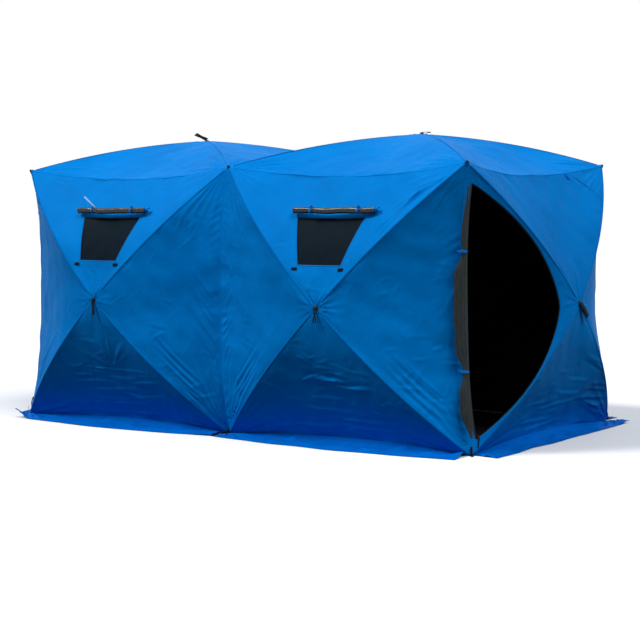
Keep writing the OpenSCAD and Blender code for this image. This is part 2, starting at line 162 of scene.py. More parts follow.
# --- faces ---
class Face:
    """One bay of fabric. A point is (k, t, s): panel k, t from hub to seam, s from pole to pole."""

    def __init__(self, node, out, bend, corners, bows, powers, turned, axes):
        self.node = node
        self.out = np.array(out, float)
        skin = np.array([v.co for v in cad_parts[node].data.vertices])
        self.hub = skin[(skin @ self.out).argmax()]
        self.bend = bend
        self.corners = corners
        self.bows = np.array(bows, float)
        self.powers = powers
        self.turned = turned
        self.axes = np.array(axes, float)
        self.span = np.linalg.norm(self.flat(np.array(corners)), axis=1).mean()

    def pole(self, k, t):
        a, b = self.hub, self.corners[k % 4]
        e = unit(b - a)
        lift = unit(self.out - (self.out @ e) * e)
        t = np.asarray(t, float)[..., None]
        return a + t * (b - a) + 4 * t * (1 - t) * self.bend * lift

    def point(self, k, t, s):
        t, s = np.broadcast_arrays(np.asarray(t, float), np.asarray(s, float))
        line = (1 - s)[..., None] * self.pole(k, t) + s[..., None] * self.pole(k + 1, t)
        pull = t ** 2 * (1 - np.abs(2 * s - 1) ** self.powers[k])
        dip = 4 * s * (1 - s) * 6.75 * t ** 2 * (1 - t) * PANEL_DIP
        return line + pull[..., None] * self.bows[k] - dip[..., None] * self.out

    def split(self, uv):
        """(k, t, s) of points of the square -1..1, whose diagonals are the poles."""
        u, v = uv[:, 0], uv[:, 1]
        t = np.maximum(np.abs(u), np.abs(v))
        safe = np.maximum(t, 1e-9)
        k = np.where(v <= -t + 1e-9, 0, np.where(u >= t - 1e-9, 1, np.where(v >= t - 1e-9, 2, 3)))
        along = np.choose(k, [u, v, -u, -v])
        return k, t, (along / safe + 1) / 2

    def at(self, uv):
        k, t, s = self.split(uv)
        p = np.zeros((len(uv), 3))
        for panel in range(4):
            m = k == panel
            p[m] = self.point(panel, t[m], s[m])
        return p

    def flat(self, p):
        """Points in the face's own plane, from its hub, along its two axes."""
        return (p - self.hub) @ self.axes.T

    def top_width(self, t):
        """How wide the top panel is between its poles."""
        return np.linalg.norm(self.pole(3, t) - self.pole(2, t), axis=-1)

    def normal(self, k, t, s, step=0.01):
        """Outward normal of the panel at one point."""
        along = self.point(k, t, min(s + step, 1)) - self.point(k, t, max(s - step, 0))
        rise = self.point(k, min(t + step, 1), s) - self.point(k, t - step, s)
        n = unit(np.cross(along, rise))
        return n if n @ self.out > 0 else -n


def corner_bow(column, side):
    if column == 0:
        return [0, side * MIDDLE_BOW, 0]
    if column > 0 and side < 0:
        return [-DOOR_CORNER_DRAW, DOOR_CORNER_GIVE, 0]
    return [-column * CORNER_DRAW, -side * CORNER_DRAW, 0]


def wall_face(node, out, bend, first, last, turned):
    """An upright bay between two ground corners, each given as its column and side."""
    out = np.array(out, float)
    corners = [corner(*first, 0), corner(*last, 0), corner(*last, 1), corner(*first, 1)]
    bows = [HEM_LIFT * Z - HEM_DRAW * out, corner_bow(*last),
            -EAVE_SAG * Z - EAVE_DRAW * out, corner_bow(*first)]
    return Face(node, out, bend, corners, bows, [2, 3, 2, 3], turned, [X if out[1] else Y, Z])


def roof_face(node, bay, left, right):
    gable, ridge = [-bay * EAVE_DRAW, 0, -EAVE_SAG], [0, 0, RIDGE_RISE]
    corners = [corner(left, -1, 1), corner(right, -1, 1), corner(right, 1, 1), corner(left, 1, 1)]
    bows = [[0, EAVE_DRAW, -EAVE_SAG], gable if bay > 0 else ridge,
            [0, -EAVE_DRAW, -EAVE_SAG], ridge if bay > 0 else gable]
    return Face(node, [0, 0, 1], ROOF_BEND, corners, bows, [2, 2, 2, 2], False, [X, Y])


HANDS = (("left", -1, -1, 0), ("right", 1, 0, 1))      # name, bay or end, left and right column
FACES = {}
for row, side in (("front", -1), ("back", 1)):
    for hand, _, left, right in HANDS:
        FACES[f"{row}_{hand}"] = wall_face(f"{row}_wall_{hand}", [0, side, 0], SIDE_BEND,
                                           (left, side), (right, side), side > 0)
for hand, end, _, _ in HANDS:
    FACES[f"{hand}_end"] = wall_face(f"{hand}_end_wall", [end, 0, 0], END_BEND,
                                     (end, -1), (end, 1), end < 0)
for hand, bay, left, right in HANDS:
    FACES[f"roof_{hand}"] = roof_face(f"roof_{hand}", bay, left, right)
ORDER = sorted(FACES)


# --- materials ---
def feed(tree, value, socket):
    """Links a socket to another one, or sets it to a constant."""
    if isinstance(value, bpy.types.NodeSocket):
        tree.links.new(value, socket)
    else:
        socket.default_value = value


def node(tree, kind, settings=None, **inputs):
    n = tree.nodes.new(kind)
    for key, value in (settings or {}).items():
        setattr(n, key, value)
    for key, value in inputs.items():
        feed(tree, value, n.inputs[key.replace("_", " ")])
    return n


def calc(tree, operation, *inputs, kind="ShaderNodeMath"):
    n = node(tree, kind, {"operation": operation})
    for value, socket in zip(inputs, n.inputs):
        feed(tree, value, socket)
    return n.outputs[0]


def shader(name, rough, **sockets):
    """A material, its tree, and a function that feeds the Principled shader's own sockets."""
    m = bpy.data.materials.new(name)
    m.use_nodes = True
    bsdf = m.node_tree.nodes["Principled BSDF"]

    def put(**values):
        for key, value in values.items():
            feed(m.node_tree, value, bsdf.inputs[key.replace("_", " ")])
    put(Roughness=rough, **sockets)
    return m, m.node_tree, put


def place(tree, kind="Object"):
    return node(tree, "ShaderNodeTexCoord").outputs[kind]


def noise(tree, where, scale, detail=3.0, roughness=0.55, output="Fac"):
    return node(tree, "ShaderNodeTexNoise", Vector=where, Scale=scale, Detail=detail,
                Roughness=roughness).outputs[output]


def ramp(tree, value, low, high, from_low=0.3, from_high=0.7):
    """Maps a pattern to a range of numbers."""
    n = node(tree, "ShaderNodeMapRange", Value=value)
    for i, x in enumerate((from_low, from_high, low, high)):
        n.inputs[i + 1].default_value = x
    return n.outputs["Result"]


def tint(tree, value, dark, light, low=0.3, high=0.7):
    n = node(tree, "ShaderNodeValToRGB", Fac=value)
    for stop, position, color in zip(n.color_ramp.elements, (low, high), (dark, light)):
        stop.position = position
        stop.color = (*color, 1)
    return n.outputs["Color"]


def bump(tree, height, strength, distance, **before):
    return node(tree, "ShaderNodeBump", Height=height, Strength=strength, Distance=distance,
                **before).outputs["Normal"]


def creases(tree, where, scale, strength, distance, normal):
    """A net of thin straight-ish creases, as coated cloth keeps from being packed."""
    bent = noise(tree, where, scale * 0.7, 2.0, 0.5, "Color")
    moved = calc(tree, "MULTIPLY_ADD", bent, (0.10, 0.10, 0.10), where, kind="ShaderNodeVectorMath")
    net = node(tree, "ShaderNodeTexVoronoi", {"feature": "DISTANCE_TO_EDGE"}, Vector=moved,
               Scale=scale)
    height = ramp(tree, net.outputs["Distance"], 0.0, 1.0, 0.0, 0.16)
    return bump(tree, height, strength, distance, Normal=normal)


def weave(tree, where, pitch, strength, distance, **before):
    """Plain weave: warp and weft threads, each a band pattern."""
    scale = 1 / (pitch * 6.2832 / 20)
    for direction in ("X", "Y"):
        bands = node(tree, "ShaderNodeTexWave", {"bands_direction": direction}, Vector=where,
                     Scale=scale / 3.1416, Distortion=0.6)
        before = {"Normal": bump(tree, bands.outputs["Fac"], strength, distance, **before)}
    return before["Normal"]


def cloth_material(name, dark, light, rough, **sockets):
    m, tree, put = shader(name, 0.5, **sockets)
    space = place(tree)
    mottle = noise(tree, space, 19, 3)
    mixed = calc(tree, "MULTIPLY_ADD", mottle, 0.35, noise(tree, space, 2.3, 4))
    normal = bump(tree, noise(tree, space, 6.5, 5, 0.5), 0.22, 0.02)
    normal = creases(tree, space, 6.0, 0.28, 0.0014, normal)
    normal = bump(tree, noise(tree, space, 32, 3), 0.20, 0.003, Normal=normal)
    put(Base_Color=tint(tree, mixed, dark, light, 0.45, 0.9), Roughness=ramp(tree, mottle, *rough),
        Normal=weave(tree, place(tree, "UV"), 0.0016, 0.25, 0.0002, Normal=normal))
    return m


def plastic_material(name, dark, light, rough=(0.32, 0.5), grain=240, **sockets):
    m, tree, put = shader(name, 0.4, **{"Specular_IOR_Level": 0.14, **sockets})
    space = place(tree)
    pattern = noise(tree, space, 14, 4)
    put(Base_Color=tint(tree, pattern, dark, light), Roughness=ramp(tree, pattern, *rough),
        Normal=bump(tree, noise(tree, space, grain, 2), 0.3, 0.0004))
    return m


def webbing_material(name, dark, light, pitch=0.0022):
    """Woven tape: ribs across its length, which its UV map runs along."""
    m, tree, put = shader(name, 0.6, Specular_IOR_Level=0.07)
    space = place(tree)
    put(Base_Color=tint(tree, noise(tree, space, 60, 3), dark, light),
        Roughness=ramp(tree, noise(tree, space, 90), 0.5, 0.7),
        Normal=weave(tree, place(tree, "UV"), pitch, 0.6, 0.0006))
    return m


GLEAM = dict(rough=(0.50, 0.64), Specular_IOR_Level=0.03, Specular_Tint=(0.05, 0.55, 1.0, 1))
MATERIALS = {
    "shell": cloth_material("shell_cloth", (0.0, 0.172, 0.545), (0.0, 0.212, 0.650), **GLEAM),
    "skirt": cloth_material("skirt_cloth", (0.0, 0.110, 0.480), (0.0, 0.140, 0.560), **GLEAM),
    "lining": cloth_material("lining_cloth", (0.006, 0.008, 0.013), (0.011, 0.014, 0.020),
                             rough=(0.55, 0.7), Specular_IOR_Level=0.05),
    "flap": cloth_material("flap_cloth", (0.008, 0.013, 0.014), (0.019, 0.026, 0.028),
                           rough=(0.34, 0.46), Specular_IOR_Level=0.22),
    "cover": cloth_material("cover_cloth", (0.003, 0.005, 0.008), (0.008, 0.012, 0.017),
                            rough=(0.22, 0.32), Specular_IOR_Level=0.40),
    # The film is drawn opaque and near-black: a tinted film, with the shade of the dark inside
    # behind it painted in.
    "film": plastic_material("window_film", (0.003, 0.009, 0.016), (0.005, 0.013, 0.021),
                             rough=(0.42, 0.56), grain=30, Specular_IOR_Level=0.015),
    # Near-black poles: a painted shade, as dark as the inside of the hut where they show through
    # the door.
    "pole": plastic_material("fibreglass", (0.006, 0.006, 0.007), (0.014, 0.014, 0.016),
                             rough=(0.45, 0.6), grain=500, Specular_IOR_Level=0.08),
    "plastic": plastic_material("moulded_plastic", (0.008, 0.008, 0.009), (0.017, 0.017, 0.019)),
    "rubber": plastic_material("boot_rubber", (0.006, 0.006, 0.007), (0.013, 0.013, 0.014),
                               rough=(0.55, 0.72), grain=320),
    "webbing": webbing_material("black_webbing", (0.004, 0.004, 0.005), (0.012, 0.012, 0.013)),
    "blue_webbing": webbing_material("blue_webbing", (0.0, 0.13, 0.52), (0.01, 0.20, 0.68)),
    # A blue strap drawn pale: a painted highlight of sun on it.
    "painted_highlight_webbing": webbing_material("painted_highlight_webbing", (0.20, 0.36, 0.70), (0.36, 0.52, 0.84)),
    "zip": webbing_material("zip_tape", (0.004, 0.004, 0.005), (0.009, 0.009, 0.010), 0.0012),
    "thread": webbing_material("sewing_thread", (0.0, 0.08, 0.36), (0.0, 0.11, 0.44), 0.001),
    "black_thread": webbing_material("black_thread", (0.01, 0.01, 0.012), (0.03, 0.03, 0.03),
                                     0.001),
    "hook": plastic_material("hook_and_loop", (0.002, 0.004, 0.007), (0.007, 0.011, 0.017),
                             rough=(0.7, 0.9), grain=900, Specular_IOR_Level=0.05),
}


# --- mesh making ---
def add_object(name, data):
    o = bpy.data.objects.new(name, data)
    bpy.context.scene.collection.objects.link(o)
    return o


def declare(o, slot, *replaced):
    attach(o, "root")
    if replaced:
        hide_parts(*replaced)


def make_mesh(name, verts, loops, starts, slots, materials, uv, sharp):
    """An object from flat arrays: corner indices, where each polygon starts, its material."""
    me = bpy.data.meshes.new(name)
    me.vertices.add(len(verts))
    me.vertices.foreach_set("co", np.asarray(verts, np.float32).ravel())
    me.loops.add(len(loops))
    me.loops.foreach_set("vertex_index", np.asarray(loops, np.int32))
    me.polygons.add(len(starts))
    me.polygons.foreach_set("loop_start", np.asarray(starts, np.int32))
    me.polygons.foreach_set("material_index", np.asarray(slots, np.int32))
    for m in materials:
        me.materials.append(MATERIALS[m])
    layer = me.uv_layers.new(name="UVMap")
    layer.data.foreach_set("uv", np.asarray(uv, np.float32)[np.asarray(loops)].ravel())
    me.update(calc_edges=True)
    me.validate()
    me.polygons.foreach_set("use_smooth", np.ones(len(me.polygons), bool))
    me.set_sharp_from_angle(angle=math.radians(sharp))
    return add_object(name, me)


class Piece:
    """Collects closed parts into one mesh."""

    def __init__(self, name, *materials):
        self.name = name
        self.materials = materials
        self.verts, self.uv, self.loops, self.starts, self.slots = [], [], [], [], []
        self.count = 0

    def add(self, verts, faces, material, uv=None):
        verts = np.asarray(verts, float).reshape(-1, 3)
        self.verts.append(verts)
        self.uv.append(verts[:, :2] if uv is None else np.asarray(uv, float).reshape(-1, 2))
        for f in faces:
            self.starts.append(len(self.loops))
            self.loops.extend(int(i) + self.count for i in f)
            self.slots.append(self.materials.index(material))
        self.count += len(verts)

    def loft(self, rings, material, closed=False):
        """Rings of as many points each, joined in order, with end caps unless it closes."""
        rings = np.asarray(rings, float)
        count, n = rings.shape[:2]
        last = count if closed else count - 1
        faces = [(j * n + i, j * n + (i + 1) % n, (j + 1) % count * n + (i + 1) % n,
                  (j + 1) % count * n + i) for j in range(last) for i in range(n)]
        if not closed:
            faces += [tuple(range(n))[::-1], tuple(range((count - 1) * n, count * n))]
        run = run_along(rings.mean(1))
        round_it = np.linalg.norm(rings - np.roll(rings, 1, axis=1), axis=2).cumsum(1)
        uv = np.stack([np.repeat(run[:, None], n, 1), round_it], 2)
        self.add(rings, faces, material, uv)

    def ribbon(self, path, across, width, thickness, material, closed=False):
        """A flat strap along a path, with rounded edges; across is its width's direction."""
        path = np.asarray(path, float)
        width = np.broadcast_to(np.asarray(width, float), len(path))
        across = unit(np.broadcast_to(np.asarray(across, float), path.shape))
        way = ahead(path, closed)
        across = unit(across - (across * way).sum(1)[:, None] * way)
        up = np.cross(way, across)
        edge = thickness * 0.3
        outline = [(-1, -1, 0, 1), (1, -1, 0, 1), (1, -1, 1, 0), (1, 1, 1, 0),
                   (1, 1, 0, 1), (-1, 1, 0, 1), (-1, 1, 1, 0), (-1, -1, 1, 0)]
        rings = [path + x * (width / 2 - edge * in_y)[:, None] * across
                 + y * (thickness / 2 - edge * in_x) * up for x, y, in_x, in_y in outline]
        self.loft(np.stack(rings, 1), material, closed)

    def tube(self, path, radius, material, sides):
        way = ahead(path)
        x = unit(np.cross(way, [0.31, 0.52, 0.79]))
        rings = zip(path, np.broadcast_to(radius, len(path)), x, np.cross(way, x))
        self.loft([around(p, r, circle(sides), a, b) for p, r, a, b in rings], material)

    def toggle(self, centre, half, radius, material, sides=12, blunt=0.05):
        """A rounded bar; half runs from its centre to its tip."""
        share = ladder(9, -1, 1)
        size = radius * np.sqrt(np.clip(1 - share[:, 0] ** 4, blunt, 1))
        self.tube(centre + share * half, size, material, sides)

    def stitches(self, path, up, material, sizes=STITCH):
        """Short raised threads along a line that lies on a surface."""
        length, pitch, radius = sizes
        run = run_along(path)
        up = np.broadcast_to(np.asarray(up, float), path.shape)
        for a in np.arange(pitch / 2, run[-1] - length, pitch):
            p, q, n = (np.array([np.interp(x, run, src[:, i]) for i in range(3)])
                       for x, src in ((a, path), (a + length, path), (a, up)))
            side = unit(np.cross(q - p, n)) * radius
            middle = (p + q) / 2
            self.add([p, q, middle + side, middle - side, middle + unit(n) * radius * 1.6],
                     [(0, 2, 4), (2, 1, 4), (1, 3, 4), (3, 0, 4), (0, 3, 1, 2)], material)

    def make(self, slot, *replaced):
        o = make_mesh(self.name, np.concatenate(self.verts), self.loops, self.starts, self.slots,
                      self.materials, np.concatenate(self.uv), 50)
        declare(o, slot, *replaced)


def triangle_normals(verts, tris):
    a, b, c = (verts[tris[:, i]] for i in range(3))
    flat = np.cross(b - a, c - a)
    n = np.zeros_like(verts)
    for i in range(3):
        np.add.at(n, tris[:, i], flat)
    return unit(n)


def grid_tris(rows, columns):
    """Triangles of a grid whose points are numbered along its columns first."""
    a = (np.arange(rows - 1)[:, None] * columns + np.arange(columns - 1)).ravel()
    return np.concatenate([np.stack([a, a + 1, a + columns + 1], 1),
                           np.stack([a, a + columns + 1, a + columns], 1)])


def sheet_mesh(name, verts, tris, uv, materials, thickness=CLOTH):
    """A cloth of two layers: the outer side, an inner side, and the edge between them."""
    inner = verts - thickness * triangle_normals(verts, tris)
    n = len(verts)
    edges = np.concatenate([tris[:, [0, 1]], tris[:, [1, 2]], tris[:, [2, 0]]])
    key = edges.min(1).astype(np.int64) * n + edges.max(1)
    _, first, count = np.unique(key, return_index=True, return_counts=True)
    rim = edges[first[count == 1]]
    rim_tris = np.concatenate([np.stack([rim[:, 1], rim[:, 0], rim[:, 0] + n], 1),
                               np.stack([rim[:, 1], rim[:, 0] + n, rim[:, 1] + n], 1)])
    every = np.concatenate([tris, tris[:, ::-1] + n, rim_tris])
    slots = np.repeat([0, 1, 0], [len(tris), len(tris), len(rim_tris)])
    return make_mesh(name, np.concatenate([verts, inner]), every.ravel(),
                     np.arange(len(every)) * 3, slots, materials, np.concatenate([uv, uv]), 60)


# --- folds ---
def waves(p, length, seed, count=14):
    """Smooth unevenness of about that wavelength, -1..1, worked out from the place itself."""
    rng = np.random.default_rng(seed)
    k = unit(rng.normal(size=(count, p.shape[1]))) * TAU / length
    k *= rng.uniform(0.7, 1.35, (count, 1))
    return np.cos(p @ k.T + rng.uniform(0, 6.28, count)).sum(1) / math.sqrt(count)


def seam_drift(p):
    """How a seam wavers; the amount depends on the place alone, so both bays agree."""
    return SEAM_WAVER * np.stack([waves(p, 0.16, 900 + i, 12) for i in range(3)], 1)


def crest(x):
    """A fold across its line: a sharp crest with a softer valley beside it."""
    return (1 + (x / 0.62) ** 2) ** -1.5 - 0.5 * bell((x - 1.4) / 0.7)


def fold(q, start, end, width, height, bow=0.0):
    """One fold from start to end in the face's plane, tapered to nothing at both ends."""
    start, end = np.array(start), np.array(end)
    length = math.dist(start, end)
    e = (end - start) / length
    along = (q - start) @ e / length
    across = (q - start) @ np.array([-e[1], e[0]]) - bow * 4 * along * (1 - along)
    taper = smooth(along * 3.2) * smooth((1 - along) * 2.2)
    return height * taper * crest(across / (width * (0.6 + 0.5 * np.clip(along, 0, 1))))


def stroke(q, start, run, *shape):
    """A fold given by its start and how far it runs from there."""
    return fold(q, start, np.add(start, run), *shape)


def fan(q, centre, low, high, count, reach, height, rng, rise=0.32):
    """Folds that spread from a point between two angles (degrees) and die out at reach."""
    d = q - np.array(centre)
    r = np.hypot(d[:, 0], d[:, 1])
    angle = np.arctan2(d[:, 1], d[:, 0])
    low, high = math.radians(low), math.radians(high)
    total = np.zeros(len(q))
    for i in range(count):
        middle = low + (high - low) * (i + 0.5 + rng.uniform(-0.28, 0.28)) / count
        spread = (high - low) / count * rng.uniform(0.22, 0.40)
        top = rise * reach * rng.uniform(0.65, 1.2)
        turn = (angle - middle + math.pi) % TAU - math.pi
        swell = r / top * np.exp(1 - r / top) * smooth((reach * 1.25 - r) / (0.5 * reach))
        total += height * rng.uniform(0.55, 1.15) * swell * crest(turn / spread)
    return total


def short_folds(q, count, rng, length=(0.08, 0.22), width=(0.012, 0.022), height=None,
                heading=None, inside=None):
    """Light crumpling: many small folds at places that inside() accepts."""
    total = np.zeros(len(q))
    low, high = q.min(0), q.max(0)
    for _ in range(count):
        at = rng.uniform(low, high)
        turn = rng.uniform(0, math.pi) if heading is None else heading(at) + rng.normal(0, 0.25)
        reach = rng.uniform(*length) / 2
        wide, tall = rng.uniform(*width), rng.uniform(*height)
        bow = rng.normal(0, 0.01)
        if inside and not inside(at):
            continue
        step = reach * np.array([math.cos(turn), math.sin(turn)])
        near = np.abs(q - at).max(1) < reach + 0.08
        total[near] += fold(q[near], at - step, at + step, wide, tall, bow)
    return total


def corner_fans(face, q, k, reach, height, rng):
    """Folds that spread from corner k, on either side of the pole that ends there."""
    at = face.flat(face.corners[k])
    seams = (((k - 1) % 4, 0.85), (k, 0.15))
    hub, *seams = (math.degrees(math.atan2(v[1], v[0])) for v in
                   (-at, *(face.flat(face.point(panel, 1.0, s)) - at for panel, s in seams)))
    return sum(fan(q, at, hub, hub + (seam - hub + 180) % 360 - 180, 5, reach, height, rng)
               for seam in seams)


def wall_folds(face, q, rng, low_reach):
    """Folds of an upright bay: fans at the ground corners, crumpling, creases from packing."""
    held = np.zeros(len(q))
    for k, reach, height in ((0, low_reach, 0.0069), (1, low_reach, 0.0069),
                             (2, 0.42, 0.0045), (3, 0.42, 0.0042)):
        held += corner_fans(face, q, k, reach, height, rng)
    half = abs(face.flat(face.corners[1])[0])
    floor = face.flat(face.corners[0])[1]
    # Long shallow rolls along the hem, and the crease where the bay is folded for its bag.
    for i in range(6):
        level = floor + 0.08 + 0.055 * i + rng.uniform(-0.015, 0.015)
        reach = half * (0.60 - 0.08 * i) * rng.uniform(0.6, 1.0)
        shift = rng.uniform(-0.25, 0.25)
        held += fold(q, (shift - reach, level), (shift + reach, level + rng.uniform(-0.04, 0.04)),
                     0.018, 0.0042, rng.uniform(-0.02, 0.01))
    # Rolls that run beside the lower poles in the side panels.
    for side in (-1, 1):
        a = np.array([side * half * 0.90, floor * 0.80])
        for i in range(4):
            start = a + np.array([-side * 0.015, 0.045 * i]) + rng.uniform(-0.01, 0.01, 2)
            run = np.array([-side, 1.02]) * rng.uniform(0.28, 0.42)
            held += stroke(q, start, run, 0.018, 0.0060, 0.01 * side)
    # Slight creases everywhere, more of them low down and along the upright seams.
    held += short_folds(q, 130, rng, height=(0.0006, 0.0019))
    held += short_folds(q, 130, rng, width=(0.010, 0.018), height=(0.0012, 0.0038),
                        heading=lambda at: 0.35 * at[0] / half,
                        inside=lambda at: at[1] < -0.25 * abs(floor))
    held += short_folds(q, 90, rng, length=(0.10, 0.26), height=(0.0009, 0.0026),
                        heading=lambda at: 1.1 * np.sign(at[0] + 1e-9),
                        inside=lambda at: abs(at[0]) > 0.66 * half)
    return held


def roof_folds(face, q, rng):
    held = sum(corner_fans(face, q, k, 0.42, 0.010, rng) for k in range(4))
    return held + short_folds(q, 170, rng, height=(0.0010, 0.0032))


def seam_folds(face, q, rng, panel, low, high, count):
    """Oblique folds that start at an upright seam and run down and away from it."""
    total = np.zeros(len(q))
    side = 1 if panel == 1 else -1
    for i in range(count):
        share = low + (high - low) * (i + rng.uniform(-0.25, 0.25)) / count
        p = face.flat(face.point(panel, 0.985, share if panel == 1 else 1 - share))
        run = rng.uniform(0.16, 0.34) * np.array([-side * 0.6, rng.uniform(0.85, 1.35) * 0.8])
        total += stroke(q, p, run, rng.uniform(0.013, 0.019), rng.uniform(0.0020, 0.0042),
                        rng.uniform(-0.012, 0.012))
    return total


def edge_ripples(face, k, s, depth, seed):
    """Gathers square to the seams, strongest at the seam and gone a hand's width inside."""
    length = np.linalg.norm(np.diff(np.array(face.corners + [face.corners[0]]), axis=0), axis=1)
    run = s * length[k] + 10 * k
    size = 0.5 + 0.5 * waves(run[:, None], 0.5, seed, 8)
    pattern = waves(run[:, None] + 0.15 * depth[:, None], 0.075, seed + 1, 10)
    return 0.0020 * np.clip(size, 0, 1.2) * pattern * bell(depth / 0.08)


def given_folds(q, *rows):
    return sum(fold(q, *row) for row in rows)


def left_bay_marks(q, rng):
    """Front left: a star of sharp creases low in the bay, where its folds crossed in the bag."""
    total = fan(q, (0.05, -0.46), 10, 170, 6, 0.24, 0.0075, rng, 0.30)
    total += fan(q, (-0.16, -0.44), 190, 330, 5, 0.16, 0.0050, rng, 0.30)
    total += fold(q, (-0.42, -0.462), (0.50, -0.485), 0.010, 0.0060)
    for i in range(7):
        total += stroke(q, (rng.uniform(-0.45, 0.25), -0.50 - 0.035 * i),
                        (rng.uniform(0.15, 0.40), rng.uniform(-0.08, 0.05)),
                        0.015, 0.0055, rng.uniform(-0.015, 0.015))
    return total


def right_bay_marks(q, rng):
    """Front right: two deep flat folds across the lower panel."""
    total = given_folds(q, ((-0.17, -0.445), (0.20, -0.465), 0.016, 0.0120, 0.014),
                        ((-0.05, -0.470), (0.38, -0.490), 0.016, 0.0095, -0.006),
                        ((-0.22, -0.480), (-0.02, -0.410), 0.013, 0.0065, 0.01))
    for i in range(9):
        total += stroke(q, (rng.uniform(-0.22, 0.10), -0.30 - 0.018 * i),
                        (rng.uniform(0.08, 0.22), rng.uniform(-0.05, 0.04)),
                        0.011, 0.0036, rng.uniform(-0.01, 0.01))
    # Long taut folds that run down to the left from the near roof corner.
    for i in range(6):
        turn = math.radians(198 + 6.5 * i + rng.uniform(-2, 2))
        run = rng.uniform(0.32, 0.55) * np.array([math.cos(turn), math.sin(turn)])
        total += stroke(q, (0.80 - 0.035 * i, 0.800 - 0.012 * i), run, 0.015,
                        rng.uniform(0.004, 0.008))
    return total


def end_marks(q, rng):
    """Right end: gathers beside the door's curve and below the roof edge."""
    total = np.zeros(len(q))
    for i in range(9):
        z = -0.55 + 0.135 * i + rng.uniform(-0.03, 0.03)
        _, curved = door_edges(1, z + FACES["right_end"].hub[2])
        total += stroke(q, (curved + 0.004, z), (rng.uniform(0.07, 0.14),
                                                 rng.uniform(-0.03, 0.05)), 0.012, 0.0042)
    for i in range(8):
        total += stroke(q, (0.84 - 0.03 * i, -0.82 + 0.05 * i),
                        (-rng.uniform(0.3, 0.6), rng.uniform(0.02, 0.2)), 0.017, 0.0075)
    return total


MARKS = {"front_left": left_bay_marks, "front_right": right_bay_marks, "right_end": end_marks}
SEAM_FOLDS = {"front_left": (1, 0.25, 0.55, 5), "back_right": (1, 0.25, 0.55, 5),
              "front_right": (3, 0.22, 0.60, 8), "back_left": (3, 0.22, 0.60, 8)}


# --- the bays' cloth ---
def square_grid(n):
    """Points of the square and its triangles, cut along the two diagonals."""
    line = np.linspace(-1, 1, n + 1)
    u, v = np.meshgrid(line, line)
    j, i = np.meshgrid(np.arange(n), np.arange(n), indexing="ij")
    a = (j * (n + 1) + i).ravel()
    b, c, d = a + 1, a + n + 2, a + n + 1
    rising = ((i < n / 2) == (j < n / 2)).ravel()
    one = np.where(rising[:, None], np.stack([a, b, c], 1), np.stack([a, b, d], 1))
    two = np.where(rising[:, None], np.stack([a, c, d], 1), np.stack([b, c, d], 1))
    return np.stack([u.ravel(), v.ravel()], 1), np.concatenate([one, two])


def clip(uv, tris, field):
    """Keeps what lies where field is above zero, with the cut edge exactly on its border."""
    inside = field(uv) > 0
    count = inside[tris].sum(1)
    mixed = tris[(count > 0) & (count < 3)]
    pairs = np.concatenate([mixed[:, [0, 1]], mixed[:, [1, 2]], mixed[:, [2, 0]]])
    pairs = np.unique(np.sort(pairs[inside[pairs[:, 0]] != inside[pairs[:, 1]]], 1), axis=0)
    good = np.where(inside[pairs[:, 0]], pairs[:, 0], pairs[:, 1])
    a, b = uv[good], uv[pairs.sum(1) - good]
    for _ in range(12):
        middle = (a + b) / 2
        above = (field(middle) > 0)[:, None]
        a, b = np.where(above, middle, a), np.where(above, b, middle)
    number = {tuple(p): len(uv) + i for i, p in enumerate(pairs.tolist())}
    made = []
    for tri in mixed.tolist():
        ring = []
        for p, q in zip(tri, tri[1:] + tri[:1]):
            if inside[p]:
                ring.append(p)
            if inside[p] != inside[q]:
                ring.append(number[(min(p, q), max(p, q))])
        made += [(ring[0], ring[i], ring[i + 1]) for i in range(1, len(ring) - 1)]
    tris = np.concatenate([tris[count == 3], np.array(made, int).reshape(-1, 3)])
    uv = np.concatenate([uv, (a + b) / 2])
    used, tris = np.unique(tris, return_inverse=True)
    return uv[used], tris.reshape(-1, 3)


def window_width(t):
    step = (WINDOW_TOP - t) / (WINDOW_TOP - WINDOW_BOTTOM)
    return WINDOW_TOP_WIDTH + step * (WINDOW_BOTTOM_WIDTH - WINDOW_TOP_WIDTH)


def window_point(face, t, across):
    """A point of the top panel: t up it, and a distance along X from its middle line."""
    return face.point(2, t, 0.5 - np.asarray(across) / face.top_width(t))


def window_rise(face):
    """How far one whole step of t reaches up the top panel's middle line."""
    low, high = face.point(2, [WINDOW_BOTTOM, WINDOW_TOP], [0.5, 0.5])
    return math.dist(low, high) / (WINDOW_TOP - WINDOW_BOTTOM)


def window_field(face):
    """How far outside the window's opening a place lies; below zero within it."""
    rise = window_rise(face)

    def field(uv):
        k, t, s = face.split(uv)
        outside = np.maximum.reduce([(WINDOW_BOTTOM - t) * rise, (t - WINDOW_TOP) * rise,
                                     np.abs(0.5 - s) * face.top_width(t) - window_width(t) / 2])
        return np.where(k == 2, outside, 0.5)
    return field


def seam_at(end, z):
    """(x, y) of the corner seam beside the door, at a height."""
    level = z / TOP[2]
    bulge = 1 - np.abs(2 * level - 1) ** 3
    draw, give, _ = corner_bow(end, -1)
    x, y = (base - level * (base - top) for base, top in zip(BASE[:2], TOP[:2]))
    return end * x + bulge * draw, -y + bulge * give


def door_edges(end, z):
    """Straight and curved edge of the door at a height."""
    step = np.clip(np.abs(z - DOOR_MIDDLE) / (DOOR_HEIGHT / 2), 0, 1.5)
    reach = DOOR_WIDTH * (1 - step ** DOOR_ROUNDNESS)
    return seam_at(end, z)[1] + DOOR_SEAM, seam_at(-1, z)[1] + DOOR_SEAM + reach


def door_field(face, end, sign=1, gap=0.0):
    """Above zero outside the door opening, or inside it where sign is -1."""
    def field(uv):
        p = face.at(uv)
        straight, curved = door_edges(end, p[:, 2])
        return sign * np.maximum(straight - p[:, 1], p[:, 1] - curved) - gap
    return field


